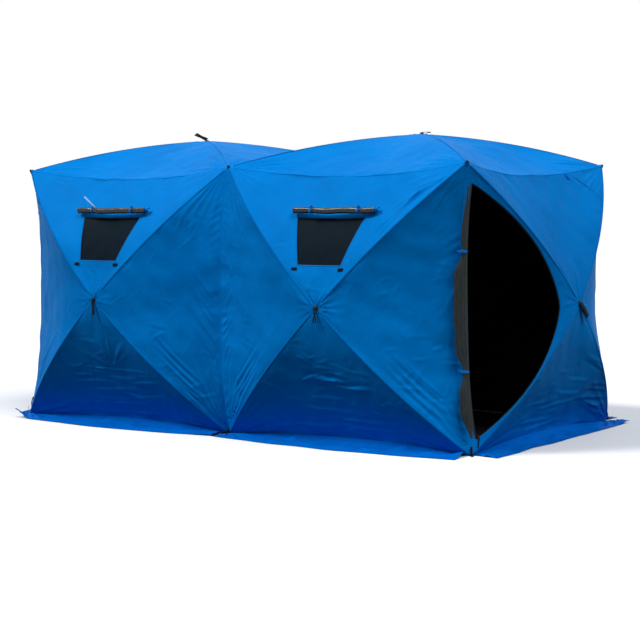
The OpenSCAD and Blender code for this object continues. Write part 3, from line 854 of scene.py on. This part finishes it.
def face_surface(name, face, fields):
    """The bay's cloth, with its folds: points, triangles and its flat pattern as UV."""
    uv, tris = square_grid(GRID.get(name, SMALL_GRID))
    for field in fields:
        uv, tris = clip(uv, tris, field)
    if face.turned:
        tris = tris[:, ::-1]
    k, t, s = face.split(uv)
    p = face.at(uv)
    q = face.flat(p)
    seed = ORDER.index(name) * 100 + 7
    rng = np.random.default_rng(seed)
    at_end = "end" in name
    if name.startswith("roof"):
        held = roof_folds(face, q, rng)
    else:
        held = wall_folds(face, q, rng, 0.48 * 1.15 if at_end else 0.48)
    if name in SEAM_FOLDS:
        held += seam_folds(face, q, rng, *SEAM_FOLDS[name])
    if name in MARKS:
        held += MARKS[name](q, rng)
    depth = (1 - t) * face.span * 0.7
    hold = 1 - bell(t * face.span * 1.4 * np.minimum(s, 1 - s) / 0.028)
    hem = 1 - bell(depth / 0.012)
    slack = 0.0034 * waves(q, 0.42, seed + 3) + 0.0012 * waves(q, 0.17, seed + 4)
    pucker = fan(q, (0, 0), 0, 360, 15, 0.20, 0.0060, rng, 0.20)
    lift = (held + slack) * hold * hem + pucker * hem
    lift += edge_ripples(face, k, s, depth, seed + 5) * hold * hem
    lift += -0.004 * bell(np.hypot(*q.T) / 0.022)
    # The cloth lies flat where a window or a zip is sewn to it.
    for field in fields:
        lift *= 1 - bell(field(uv) / (0.022 if at_end else 0.040))
    p = p + lift[:, None] * triangle_normals(p, tris)
    waver = smooth((t - 0.75) / 0.25) * np.sin(math.pi * s)
    return p + waver[:, None] * seam_drift(face.at(uv)), tris, q


def make_bays():
    for name, face in FACES.items():
        fields, hole = [], 0.0
        if name.startswith(("front", "back")):
            fields, hole = [window_field(face)], 0.12
        if "end" in name:
            fields, hole = [door_field(face, face.out[0])], 0.66
        o = sheet_mesh(name + "_cloth", *face_surface(name, face, fields), ["shell", "lining"])
        declare(o, "shell_fabric", face.node)
        if name == "left_end":
            cloth = face_surface(name, face, [door_field(face, -1, -1, 0.001)])
            door = sheet_mesh("left_door_cloth", *cloth, ["shell", "lining"])
            declare(door, "shell_fabric", "left_door")


# --- seams, zips and binding ---
def make_seams():
    """Felled seams on the outside, over each pole and where bays meet."""
    piece = Piece("felled_seams", "shell", "skirt", "thread", "black_thread")
    for face in FACES.values():
        for k in range(4):
            path = face.pole(k, np.linspace(0.045, 0.975, 44)) + 0.0006 * face.out
            piece.ribbon(path, np.cross(ahead(path), face.out), 0.011, 0.0014, "shell")
    done = []
    for name, face in FACES.items():
        for k in range(0 if name.startswith("roof") else 1, 4):
            middle = face.point(k, 1.0, 0.5)
            if any(np.linalg.norm(middle - m) < 0.02 for m in done):
                continue
            done.append(middle)
            s = np.linspace(0.02, 0.98, 52)
            path = face.point(k, 1.0, s)
            path = path + np.sin(math.pi * s)[:, None] * seam_drift(path)
            piece.ribbon(path, path - face.point(k, 0.97, s), 0.009, 0.0030, "shell")
    # A short dart below the right end's eave, with the tab that closes it.
    face = FACES["right_end"]
    share = np.linspace(0, 1, 24)
    path = face.point(2, 0.985 - 0.255 * share, 0.215 - 0.205 * share)
    n = face.normal(2, 0.85, 0.12)
    across = unit(np.cross(ahead(path), n))
    piece.ribbon(path + 0.002 * n, across, 0.010, 0.0030, "shell")
    piece.stitches(path + 0.005 * across + 0.0036 * n, n, "black_thread", DART_STITCH)
    path = face.point(2, 0.990 - 0.050 * share, 0.245 - 0.012 * share)
    piece.ribbon(path + (0.004 + 0.008 * share)[:, None] * n, across, 0.030 - 0.010 * share,
                 0.0022, "skirt")
    piece.make("shell_fabric")


def window_outline(face, grow):
    """Points round the window opening, grown outwards."""
    lap = grow / window_rise(face)
    low, high = WINDOW_BOTTOM - lap, WINDOW_TOP + lap
    a, b = WINDOW_BOTTOM_WIDTH / 2 + grow, WINDOW_TOP_WIDTH / 2 + grow
    run = np.concatenate([side + np.arange(count) / count
                          for side, count in enumerate((25, 21, 25, 21))])
    return window_point(face, np.interp(run, range(5), (low, low, high, high, low)),
                        np.interp(run, range(5), (-a, a, b, -b, -a)))


def make_window(name):
    """Dark film behind the opening, its black binding just inside the cut, and a turned hem."""
    face = FACES[name]
    normal = face.normal(2, (WINDOW_BOTTOM + WINDOW_TOP) / 2, 0.5)
    piece = Piece(name + "_film", "film", "lining", "shell", "thread")
    rows, columns = 24, 28
    grid = np.array([window_point(face, t, (window_width(t) / 2 + 0.010)
                                  * np.linspace(-1, 1, columns))
                     for t in np.linspace(WINDOW_BOTTOM - 0.012, WINDOW_TOP + 0.012, rows)])
    grid = grid.reshape(-1, 3)
    sag = waves(grid, 0.22, 40 + len(name))
    grid = grid + (0.0016 * sag - 0.0055)[:, None] * normal
    number = np.arange(len(grid)).reshape(rows, columns)
    quads = np.stack([number[:-1, :-1], number[:-1, 1:], number[1:, 1:], number[1:, :-1]],
                     2).reshape(-1, 4)
    rim = np.concatenate([number[0], number[1:, -1], number[-1, -2::-1], number[-2:0:-1, 0]])
    after = np.roll(rim, -1)
    faces = np.concatenate([quads, quads[:, ::-1] + len(grid),
                            np.stack([after, rim, rim + len(grid), after + len(grid)], 1)])
    # Opaque near-black film: the shade of the hut's inside behind the window is painted into its
    # colour.
    piece.add(np.concatenate([grid, grid - 0.0012 * normal]),
              faces[:, ::-1] if face.turned else faces, "film")
    for grow, depth, width, what in ((-0.001, -0.0026, 0.010, "lining"),
                                     (0.0035, 0.0002, 0.007, "shell")):
        path = window_outline(face, grow)
        piece.ribbon(path + depth * normal, path - path.mean(0), width, 0.0016, what, True)
    line = window_outline(face, 0.006) + 0.0012 * normal
    piece.stitches(np.concatenate([line, line[:1]]), normal, "thread")
    piece.make("window_film", name + "_window")


def make_cover(name):
    """The rolled-up window cover: a spiral of cloth, two straps round it, a flap end, patches."""
    face = FACES[name]
    side = face.out[1]
    piece = Piece(name + "_cover_roll", "cover", "shell", "blue_webbing", "painted_highlight_webbing",
                  "plastic", "hook", "thread")
    low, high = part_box(name + "_window_cover")
    axis = np.array([0, (low.y + high.y) / 2, (low.z + high.z) / 2])
    out = face.normal(2, COVER_PLACE, 0.5)
    up = unit(np.cross(out, side * X))
    up = up if up[2] > 0 else -up
    seed = 60 + ORDER.index(name)
    length = high.x - low.x
    straps = [low.x + share * length for share in ((0.22, 0.80) if side < 0 else (0.78, 0.20))]
    angle = np.linspace(0, 2.6 * TAU, 72)
    spiral = COVER_RADIUS - 0.0012 - 0.0034 * (angle[-1] - angle) / TAU
    rings = []
    for x in np.linspace(low.x, high.x, 46):
        squeeze = 1.0 - sum(0.16 * math.exp(-((x - s) / 0.022) ** 2) for s in straps)
        lumps = waves(np.stack([0.03 * np.cos(angle), 0.03 * np.sin(angle), angle * 0 + x], 1),
                      0.11, seed)
        r = np.minimum(spiral * squeeze + 0.0013 * lumps, COVER_RADIUS)
        sag = 0.004 * math.sin(math.pi * (x - low.x) / length) \
            + 0.002 * waves(np.array([[x]]), 0.3, seed + 9)[0]
        rings.append(curl(axis + x * X - sag * up, r, COVER_CLOTH, angle, up, out))
    piece.loft(rings, "cover")
    r = COVER_RADIUS * 0.86 + 0.0012
    tail = ladder(14)
    for x in straps:
        at = axis + x * X
        piece.ribbon(around(at - 0.003 * up, r, circle(32), up, out), X, 0.015, 0.0016,
                     "blue_webbing", True)
        # A toggle on the strap, and its loose tail.
        piece.toggle(at + (r + 0.002) * unit(out * 0.9 + up * 0.45), 0.006 * X + 0.012 * up,
                     0.0038, "plastic")
        # The left bay's first tail is a blue strap drawn pale blue, a painted highlight of sun on
        # it.
        if name.endswith("left") and x == straps[0]:
            end = -0.140 * X + 0.088 * up
            path = at + (r + 0.003) * up + tail * end + 0.010 * np.sin(tail * math.pi) * out
            piece.ribbon(path, np.cross(end, out), 0.011, 0.0016, "painted_highlight_webbing")
        else:
            path = at + 0.006 * X + (r + 0.002) * unit(out - 0.3 * up) \
                - tail * (0.026 * up) + 0.005 * np.sin(tail * math.pi) * out
            piece.ribbon(path, X, 0.011, 0.0016, "blue_webbing")
    # The blue outer side shows at one end, where the roll is loose.
    end = high.x if side < 0 else low.x
    piece.loft([curl(axis + (end - side * (0.036 * a - 0.014)) * X + 0.004 * a * up,
                     COVER_RADIUS * (0.90 - 0.30 * a), COVER_CLOTH, np.linspace(-0.5, 3.9, 20),
                     up, out) for a in np.linspace(0, 1, 12)], "shell")
    # Hook-and-loop patches that the cover's corners press onto when it is down.
    t = WINDOW_BOTTOM - 0.030
    n = face.normal(2, t, 0.5)
    rise = unit(np.cross(n, X))
    for x in (-0.176, 0.166):
        middle = window_point(face, t, -side * x) + 0.0030 * n
        line = ladder(7, -0.020, 0.020) * X
        piece.ribbon(middle + line, rise, 0.019, 0.0024, "hook")
        for edge in (-0.0080, 0.0080):
            piece.stitches(middle + line * 0.92 + edge * rise + 0.0013 * n, n, "thread",
                           FINE_STITCH)
    piece.make("cover_fabric", name + "_window_cover")


def end_uv(face, y, z):
    """(u, v) of the points of an end wall that lie at these widths and heights."""
    uv = np.stack([y / BASE[1], (z - face.hub[2]) / (TOP[2] / 2)], 1)
    uv = np.clip(uv, -0.995, 0.995)
    for _ in range(25):
        p = face.at(uv)
        off = np.stack([(y - p[:, 1]) / BASE[1], (z - p[:, 2]) / (TOP[2] / 2)], 1)
        uv = np.clip(uv + 0.9 * off, -1, 1)
    return uv


def end_normals(face, y, z, step=0.012):
    uv = end_uv(face, y, z)
    a, b = (face.at(np.clip(uv + way, -1, 1)) - face.at(np.clip(uv - way, -1, 1))
            for way in np.eye(2) * step)
    return unit(np.cross(a, b)) * (-1 if face.turned else 1)


def make_zips():
    """Zip tape with its coil round both doors, a row of stitches, and the sliders' pulls."""
    piece = Piece("door_zips", "zip", "plastic", "shell", "thread", "webbing", "flap")
    for end, face in ((-1, FACES["left_end"]), (1, FACES["right_end"])):
        z = DOOR_MIDDLE + DOOR_HEIGHT / 2 * np.sin(np.linspace(-1, 1, 121) * math.pi / 2) * 0.998
        straight, curved = door_edges(end, z)
        for y, inset in ((curved, -1), (straight, 1)):
            normal = end_normals(face, y, z)

            def beside(shift, rise, y=y, normal=normal):
                return face.at(end_uv(face, y + shift, z)) + rise * normal
            path = beside(inset * 0.003, 0)
            across = np.cross(ahead(path), normal)
            lift = 0.0004 if end < 0 else -0.0016
            piece.ribbon(path + lift * normal, across, 0.011, 0.0014, "zip")
            if y is curved or end < 0:
                piece.tube(path + (lift + 0.0010) * normal, 0.0013, "zip", 6)
            if end > 0 and y is straight:
                # Here the open flap's own cloth runs on from its seam to the gathered bunch.
                wide = 0.006 + 0.022 * smooth((z - z[0]) / 0.14) * smooth((z[-1] - z) / 0.34)
                piece.ribbon(beside(0.004 - wide / 2, 0.0016), across, wide, 0.0022, "flap")
                continue
            piece.ribbon(beside(-inset * 0.009, 0.0008), across, 0.012, 0.0026, "shell")
            piece.stitches(beside(-inset * 0.012, 0.0024)[3:-3], normal[3:-3], "thread",
                           ZIP_STITCH)
        # The slider rests at the lower end of the curve, with a short pull.
        low = slice(4, 5)
        at = face.at(end_uv(face, curved[low], z[low]))[0]
        n = end_normals(face, curved[low], z[low])[0]
        piece.toggle(at + 0.005 * n, 0.013 * (Z - 0.25 * Y), 0.0062, "plastic", 14, 0.08)
        drop = ladder(16)
        pull = at + 0.010 * n - drop * (0.010 * Y + 0.060 * Z) + 0.004 * np.sin(drop * 3.1) * n
        piece.ribbon(pull, Y, 0.010, 0.0022, "webbing")
    piece.make("shell_fabric")


# --- the gathered door flap ---
FLAP_LEAN = unit([0.5, -0.87, 0])
FLAP_SIDE = np.cross(FLAP_LEAN, Z)


def flap_shape(z):
    """Middle of the gathered door at each height, half its width there, and how free it hangs.

    It is slim at its tips and drawn in at both ties, and its inner edge hangs straight.
    """
    low, high = TIE_LEVELS
    tip = smooth((z - DOOR_SILL) / 0.16) * smooth((DOOR_SILL + DOOR_HEIGHT - z) / 0.40)
    full = np.where(z > high, 0.020, np.where(z > low, 0.039, 0.031))
    near = np.minimum(np.abs(z - low), np.abs(z - high))
    free = smooth((near - 0.010) / 0.12)
    half = (0.0165 + (full - 0.0165) * free) * (0.30 + 0.70 * tip)
    middle = np.stack([*seam_at(1, z), z], -1) + FLAP_OUT * FLAP_LEAN
    return middle + (half - 0.030)[..., None] * FLAP_SIDE, half, free * tip


def make_flap():
    """The door's cloth, drawn to its straight edge in a pleated bunch and held by two ties."""
    rows, points, turns, pleats = 120, 148, 2.75, 9
    z = np.linspace(DOOR_SILL + 0.012, DOOR_SILL + DOOR_HEIGHT - 0.012, rows)[:, None]
    middle, half, free = flap_shape(z)
    along = np.linspace(0, 1, points)
    turn = TAU * turns * along + 0.9
    sway, swell = waves(z, 0.50, 70)[:, None], waves(z, 0.28, 71)[:, None]
    reach = (1 - 0.62 * along) * (1 + (0.06 + 0.12 * free) * np.cos(pleats * turn + 1.4 * sway)
                                  + 0.07 * np.cos(4 * turn + 2.2 * swell)) / 1.10
    x = half * reach * np.cos(turn) + 0.10 * half * np.sin(z * 9.0) * free
    y = (0.46 * half + 0.009 * free) * reach * np.sin(turn)
    verts = middle + x[..., None] * FLAP_SIDE + y[..., None] * FLAP_LEAN
    run = np.linalg.norm(np.diff(verts, axis=1), axis=2).cumsum(1)
    run = np.concatenate([np.zeros((rows, 1)), run], 1)
    uv = np.stack([run, np.repeat(z, points, 1)], 2).reshape(-1, 2)
    o = sheet_mesh("right_door_flap_cloth", verts.reshape(-1, 3), grid_tris(rows, points), uv,
                   ["flap", "flap"], FLAP_CLOTH)
    declare(o, "cover_fabric", "right_door_flap")


def make_ties():
    piece = Piece("door_tie_straps", "blue_webbing", "plastic", "thread")
    for level in TIE_LEVELS:
        c, half, _ = flap_shape(np.array(level))
        r = half + 0.0035
        ring = around(c, r, circle(40), FLAP_LEAN, FLAP_SIDE)
        ring[:, 2] += 0.004 * np.cos(circle(40))
        piece.ribbon(ring, Z, 0.020, 0.0018, "blue_webbing", True)
        # The strap runs on to its sewn end on the wall beside the seam.
        home = np.array([*seam_at(1, level), level]) + [-0.030, -0.012, 0.004]
        share = ladder(14)
        path = (1 - share) * (c - r * FLAP_LEAN * 0.5 + FLAP_SIDE * r * 0.8) + share * home
        piece.ribbon(path, Z, 0.017, 0.0018, "blue_webbing")
        piece.toggle(c + (r + 0.004) * unit(FLAP_LEAN - 0.6 * FLAP_SIDE),
                     0.004 * Z - 0.013 * FLAP_SIDE, 0.0042, "blue_webbing")
    piece.make("tie_fabric", "right_door_ties")


# --- snow skirts ---
# The skirt ends that curl up off the ground, and how high.
CURLED = {("front_left", 0): 0.060, ("right_end", 1): 0.010}


def skirt_line(face, name, s, width, share):
    """One line of the skirt's points, from its seam over its bend to its rim."""
    a, b = face.corners[:2]
    fall = np.clip(share / 0.36, 0, 1)[:, None]
    flat = np.clip((share - 0.36) / 0.64, 0, 1)[:, None]
    seam = face.point(0, 1.0, s) + 0.003 * face.out
    line = a + s * (b - a)
    flare = -0.4 * SKIRT_FLARE if s < 0.5 and (name, 0) in CURLED else SKIRT_FLARE
    spread = unit(b - a) * flare * (2 * s - 1)
    turn = line + SKIRT_DROP * face.out + spread * SKIRT_DROP / width
    p = seam + fall * (turn - seam) + flat * (line + width * face.out + spread - turn)
    p[:, 2] = seam[2] * (1 - fall[:, 0]) ** 1.6
    return p


def make_skirt(name, middle_width, end_width):
    face = FACES[name]
    columns, rows = 132, 26
    shares = 0.5 - 0.484 * np.cos(np.linspace(0, math.pi, columns))
    share = np.linspace(0, 1, rows)
    bag = ORDER.index(name)
    a, b = face.corners[:2]
    width = end_width + (middle_width - end_width) * np.sin(math.pi * shares)
    if name == "left_end":
        width *= 1 - 0.42 * smooth(1 - shares / 0.16)
    verts = np.array([skirt_line(face, name, s, w, share) for s, w in zip(shares, width)])
    for end, gone in ((0, shares - shares[0]), (1, shares[-1] - shares)):
        lift = CURLED.get((name, end), 0.0) * smooth(1 - gone / 0.085)
        verts[..., 2] += lift[:, None] * share ** 1.6
    flat_xy = verts[..., :2].reshape(-1, 2)

    def uneven(length, seed):
        return waves(flat_xy, length, seed + bag).reshape(columns, rows)
    ridge = 0.011 * np.clip(uneven(0.24, 500) - 0.2, 0, None) \
        + 0.0035 * np.clip(uneven(0.085, 520), 0, None)
    rng = np.random.default_rng(580 + bag)
    for at, way in ((a, b - a), (b, a - b)):
        # Folds that spread over the ground from the corner.
        x, y, _ = face.out + unit(way)
        toward = math.degrees(math.atan2(y, x))
        spread = fan(flat_xy, at[:2], toward - 42, toward + 42, 5, 0.42, 0.009, rng, 0.35)
        ridge = ridge + np.clip(spread, 0, None).reshape(columns, rows)
    ridge = ridge * smooth(share / 0.25) * (1 - 0.72 * smooth((share - 0.55) / 0.45))
    verts[..., 2] += ridge + 0.0020
    # The rim is not quite straight.
    verts[..., :2] += (0.006 * uneven(0.5, 560) * share ** 2)[..., None] * face.out[:2]
    tris = grid_tris(columns, rows)
    points = verts.reshape(-1, 3)
    if triangle_normals(points, tris)[:, 2].mean() < 0:
        tris = tris[:, ::-1]
    length = math.dist(a, b)
    uv = np.stack(np.broadcast_arrays(shares[:, None] * length, share * middle_width), 2)
    o = sheet_mesh(name + "_skirt_cloth", points, tris, uv.reshape(-1, 2), ["skirt", "lining"],
                   SKIRT_CLOTH)
    declare(o, "skirt_fabric", name + "_skirt")
    # The cloth is cut to a curve, so it covers less than the oblong it is cut from.
    piece = Piece(name + "_skirt_hem", "skirt", "thread", "lining")
    rim = verts[:, -2] + 0.0007 * Z
    across = verts[:, -1] - verts[:, -3]
    piece.ribbon(rim, across, 0.014, 0.0026, "skirt")
    normal = unit(np.cross(np.gradient(rim, axis=0), across))
    normal *= np.sign(normal @ Z)[:, None]
    piece.stitches(verts[:, -3] + 0.0014 * normal, normal, "thread", HEM_STITCH)
    if name == "front_right":
        # A black strip stands up along its edge where the bays meet, a little above the ground.
        path = verts[0, 3:] + [-0.006, 0, 0.0075]
        path[:, 2] = np.minimum(path[:, 2], 0.016)
        piece.ribbon(path, [-0.35, -0.15, 1.0], 0.015, 0.0020, "lining")
    piece.make("skirt_fabric")


# --- fittings ---
# Where each hub's loop hangs, how far it stands off, how wide it is, and how much it opens.
LOOPS = {"front_left": ((0.20, 0, -1), 0.10, 0.020, 0.003),
         "front_right": ((0.03, 0, -1), 0.10, 0.014, 0.010),
         "roof_left": ((-1, 0, 0), 0.40, 0.024, 0.003),
         "roof_right": ((0, 1, 0), 0.05, 0.024, 0.003),
         "right_end": ((0, 0.62, -1), 0.22, 0.034, 0.003)}


def make_straps():
    """A webbing loop on the outside of each hub, drawn together in its middle."""
    piece = Piece("hub_pull_loops", "webbing", "plastic", "black_thread")
    for name, face in FACES.items():
        out = face.out
        hang, swing, width, gape = LOOPS.get(name, ((0, 0, -1), 0.10, 0.020, 0.005))
        hang = unit(hang - (hang @ out) * out)
        across = np.cross(hang, out)
        start = face.hub + 0.004 * out
        # The hub's outer cap, through which the loop is fixed.
        piece.loft([around(start + h * out, r, circle(28), across, hang) for r, h in
                    ((0.015, -0.006), (0.015, -0.001), (0.012, 0.0015), (0.005, 0.0025))],
                   "plastic")
        a = np.linspace(0, 1, 40)
        face_way = unit(across + 1.2 * Z) if name == "roof_left" else across
        lift = swing * LOOP_LENGTH * a + 0.006
        waist = 1 - (0.10 if name == "right_end" else 0.45) * np.sin(a * math.pi) ** 2
        for layer in (-1, 1):
            if name == "front_right":
                # Its two legs lie side by side and cross in the middle, like a bow.
                shift = layer * gape * np.cos(a * math.pi * 1.15)
                path = (start + (LOOP_LENGTH * 0.88 * a)[:, None] * hang + shift[:, None] * across
                        + (lift + layer * 0.0012)[:, None] * out)
                piece.ribbon(path, across, 0.009, 0.0018, "webbing")
                continue
            opens = layer * gape * np.sin(a * math.pi)
            path = (start + (LOOP_LENGTH * a)[:, None] * hang
                    + (lift + opens + 0.0011 * layer)[:, None] * out)
            piece.ribbon(path, face_way, width * waist, 0.0018, "webbing")
        if name != "front_right":
            tip = start + LOOP_LENGTH * hang + (swing * LOOP_LENGTH + 0.006) * out
            bend = around(tip, 0.0025, np.linspace(-0.5, 0.5, 12) * math.pi, hang, out)
            piece.ribbon(bend, face_way, width, 0.0016, "webbing")
        for shift in (-0.3, 0.3):
            line = start + ladder(5, 0.012, 0.030) * hang + shift * width * across + 0.0125 * out
            piece.stitches(line, out, "black_thread", FINE_STITCH)
    piece.make("webbing", "hub_pull_straps")


CORNERS = [(column, side) for column in (-1, 0, 1) for side in (-1, 1)]


def make_boots():
    """Rubber caps at the roof corners, half hidden by the fabric gathered over them."""
    piece = Piece("roof_corner_caps", "rubber", "webbing", "shell", "thread")
    for column, side in CORNERS:
        outward = unit([column * 0.8, side * 0.8, 0.75])
        x = unit(np.cross(outward, Z))
        y = np.cross(outward, x)
        turn = circle(24)
        for what, lobe, outline in (
                ("rubber", 0.06, ((0.0085, -0.020), (0.0100, -0.012), (0.0104, -0.002),
                                  (0.0090, 0.006), (0.0060, 0.0105), (0.0022, 0.0125))),
                ("shell", 0.12, ((0.0205, -0.030), (0.0180, -0.018), (0.0150, -0.008),
                                 (0.0128, -0.001), (0.0108, 0.0008), (0.0104, -0.002),
                                 (0.0126, -0.010)))):
            lobes = 1 + lobe * np.cos(turn * 4 + 0.6)
            piece.loft([around(corner(column, side, 1) + h * outward, r * lobes, turn, x, y)
                        for r, h in outline], what)
    piece.make("boot_rubber", "roof_corner_boots")


def make_feet():
    """Ground corners: the moulded foot, and a black webbing tab sewn upright over the seam."""
    piece = Piece("ground_corner_fittings", "plastic", "webbing", "black_thread")
    for column, side in CORNERS:
        foot = np.array([column * (feet.x - FOOT_RADIUS), side * (feet.y - FOOT_RADIUS), 0])
        piece.loft([around(foot + h * Z, r, circle(28), X, Y) for r, h in
                    ((0.0102, 0.0004), (FOOT_RADIUS, 0.002), (FOOT_RADIUS, feet.z * 0.55),
                     (0.0095, feet.z * 0.9), (0.0055, feet.z))], "plastic")
        away = unit([column, side, 0])
        across = np.cross(Z, away)
        base = corner(column, side, 0) + 0.011 * away
        # One strip of webbing: down the seam, round a bend on the ground, and out a little.
        rise = ladder(12)
        upright = base - 0.003 * rise * away + (0.006 + 0.052 * rise) * Z
        ground = base + ladder(6, 0.004, 0.026) * away + 0.0042 * Z
        path = np.concatenate([upright[::-1], ground])
        piece.ribbon(path, across, np.linspace(0.012, 0.019, len(path)), 0.0022, "webbing")
        for shift in (-0.005, 0.005):
            piece.stitches(upright[3:-1] + 0.0014 * away + shift * across, away, "black_thread",
                           FINE_STITCH)
    piece.make("hub_plastic", "ground_corner_feet")


def dress_cad():
    for name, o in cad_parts.items():
        # The poles get the near-black fibreglass, a painted shade for where they show inside the
        # hut.
        material = MATERIALS["pole" if name.endswith("_poles") else "plastic"]
        for s in o.material_slots:
            s.material = material
        if not o.material_slots:
            o.data.materials.append(material)


# --- stage, light and camera ---
def join(tree, hidden, seen, kind):
    """Shows one shader to the camera, also in mirrors and through glass, and one to light."""
    rays = node(tree, "ShaderNodeLightPath").outputs
    camera = rays["Is Camera Ray"]
    for other in ("Is Glossy Ray", "Is Transmission Ray"):
        camera = calc(tree, "MAXIMUM", camera, rays[other])
    mix = node(tree, "ShaderNodeMixShader", Fac=camera)
    feed(tree, hidden.outputs[0], mix.inputs[1])
    feed(tree, seen.outputs[0], mix.inputs[2])
    node(tree, kind, Surface=mix.outputs[0])


def bare_tree(owner):
    owner.use_nodes = True
    owner.node_tree.nodes.clear()
    return owner.node_tree


def make_stage():
    me = bpy.data.meshes.new("studio_floor")
    me.from_pydata([(x, y, -0.001) for x, y in ((-40, -40), (40, -40), (40, 40), (-40, 40))], [],
                   [(0, 1, 2, 3)])
    m = bpy.data.materials.new("studio_floor")
    tree = bare_tree(m)
    # Under the hut the floor is painted near-black: a painted shade for the little light that the
    # black lining lets in.
    axes = node(tree, "ShaderNodeSeparateXYZ", Vector=place(tree)).outputs
    near = (calc(tree, "LESS_THAN", calc(tree, "ABSOLUTE", axes[i]), BASE[i] - 0.02)
            for i in (0, 1))
    # Painted shade: a near-black patch of floor colour under the hut, pale floor elsewhere.
    inside = tint(tree, calc(tree, "MULTIPLY", *near), (0.93, 0.93, 0.93), (0.03, 0.03, 0.035),
                  0.4, 0.6)
    join(tree, node(tree, "ShaderNodeBsdfDiffuse", Color=(0.06, 0.06, 0.06, 1)),
         node(tree, "ShaderNodeBsdfDiffuse", Color=inside), "ShaderNodeOutputMaterial")
    me.materials.append(m)
    add_object("studio_floor", me)


def make_light():
    world = bpy.data.worlds.new("studio")
    bpy.context.scene.world = world
    tree = bare_tree(world)
    up = node(tree, "ShaderNodeSeparateXYZ", Vector=place(tree, "Generated")).outputs["Z"]
    join(tree, node(tree, "ShaderNodeBackground", Color=(0.84, 0.93, 1.06, 1),
                    Strength=ramp(tree, up, 0.28, 0.37, -0.05, 0.75)),
         node(tree, "ShaderNodeBackground", Color=(1, 1, 1, 1), Strength=1.0),
         "ShaderNodeOutputWorld")
    for name, toward, strength, spread in (("key", (-0.46, -0.42, 0.78), 2.08, 14),
                                           ("fill", (0.57, -0.18, 0.80), 1.62, 35)):
        lamp = bpy.data.lights.new(name, "SUN")
        lamp.energy = strength
        lamp.angle = math.radians(spread)
        o = add_object(name, lamp)
        o.rotation_mode = "QUATERNION"
        o.rotation_quaternion = Vector(toward).to_track_quat("Z", "Y")


def make_camera():
    azimuth, down, roll = math.radians(35.0), math.radians(4.16), math.radians(-0.35)
    way = Vector((-math.sin(azimuth) * math.cos(down), math.cos(azimuth) * math.cos(down),
                  -math.sin(down)))
    data = bpy.data.cameras.new("camera")
    data.lens = 93.2
    data.sensor_width = 36
    camera = add_object("camera", data)
    camera.location = (6.647, -9.379, 1.517)
    camera.rotation_mode = "QUATERNION"
    camera.rotation_quaternion = way.to_track_quat("-Z", "Y") @ Quaternion((0, 0, 1), roll)
    bpy.context.scene.camera = camera


make_camera()
dress_cad()
make_bays()
make_seams()
for bay in ("front_left", "front_right", "back_left", "back_right"):
    make_window(bay)
    make_cover(bay)
    make_skirt(bay, SKIRT_WIDTH, SKIRT_END_WIDTH)
for bay in ("left_end", "right_end"):
    make_skirt(bay, END_SKIRT_WIDTH, END_SKIRT_WIDTH)
make_zips()
make_flap()
make_ties()
make_straps()
make_boots()
make_feet()
make_stage()
make_light()

view_settings = bpy.context.scene.view_settings
view_settings.view_transform = "Standard"
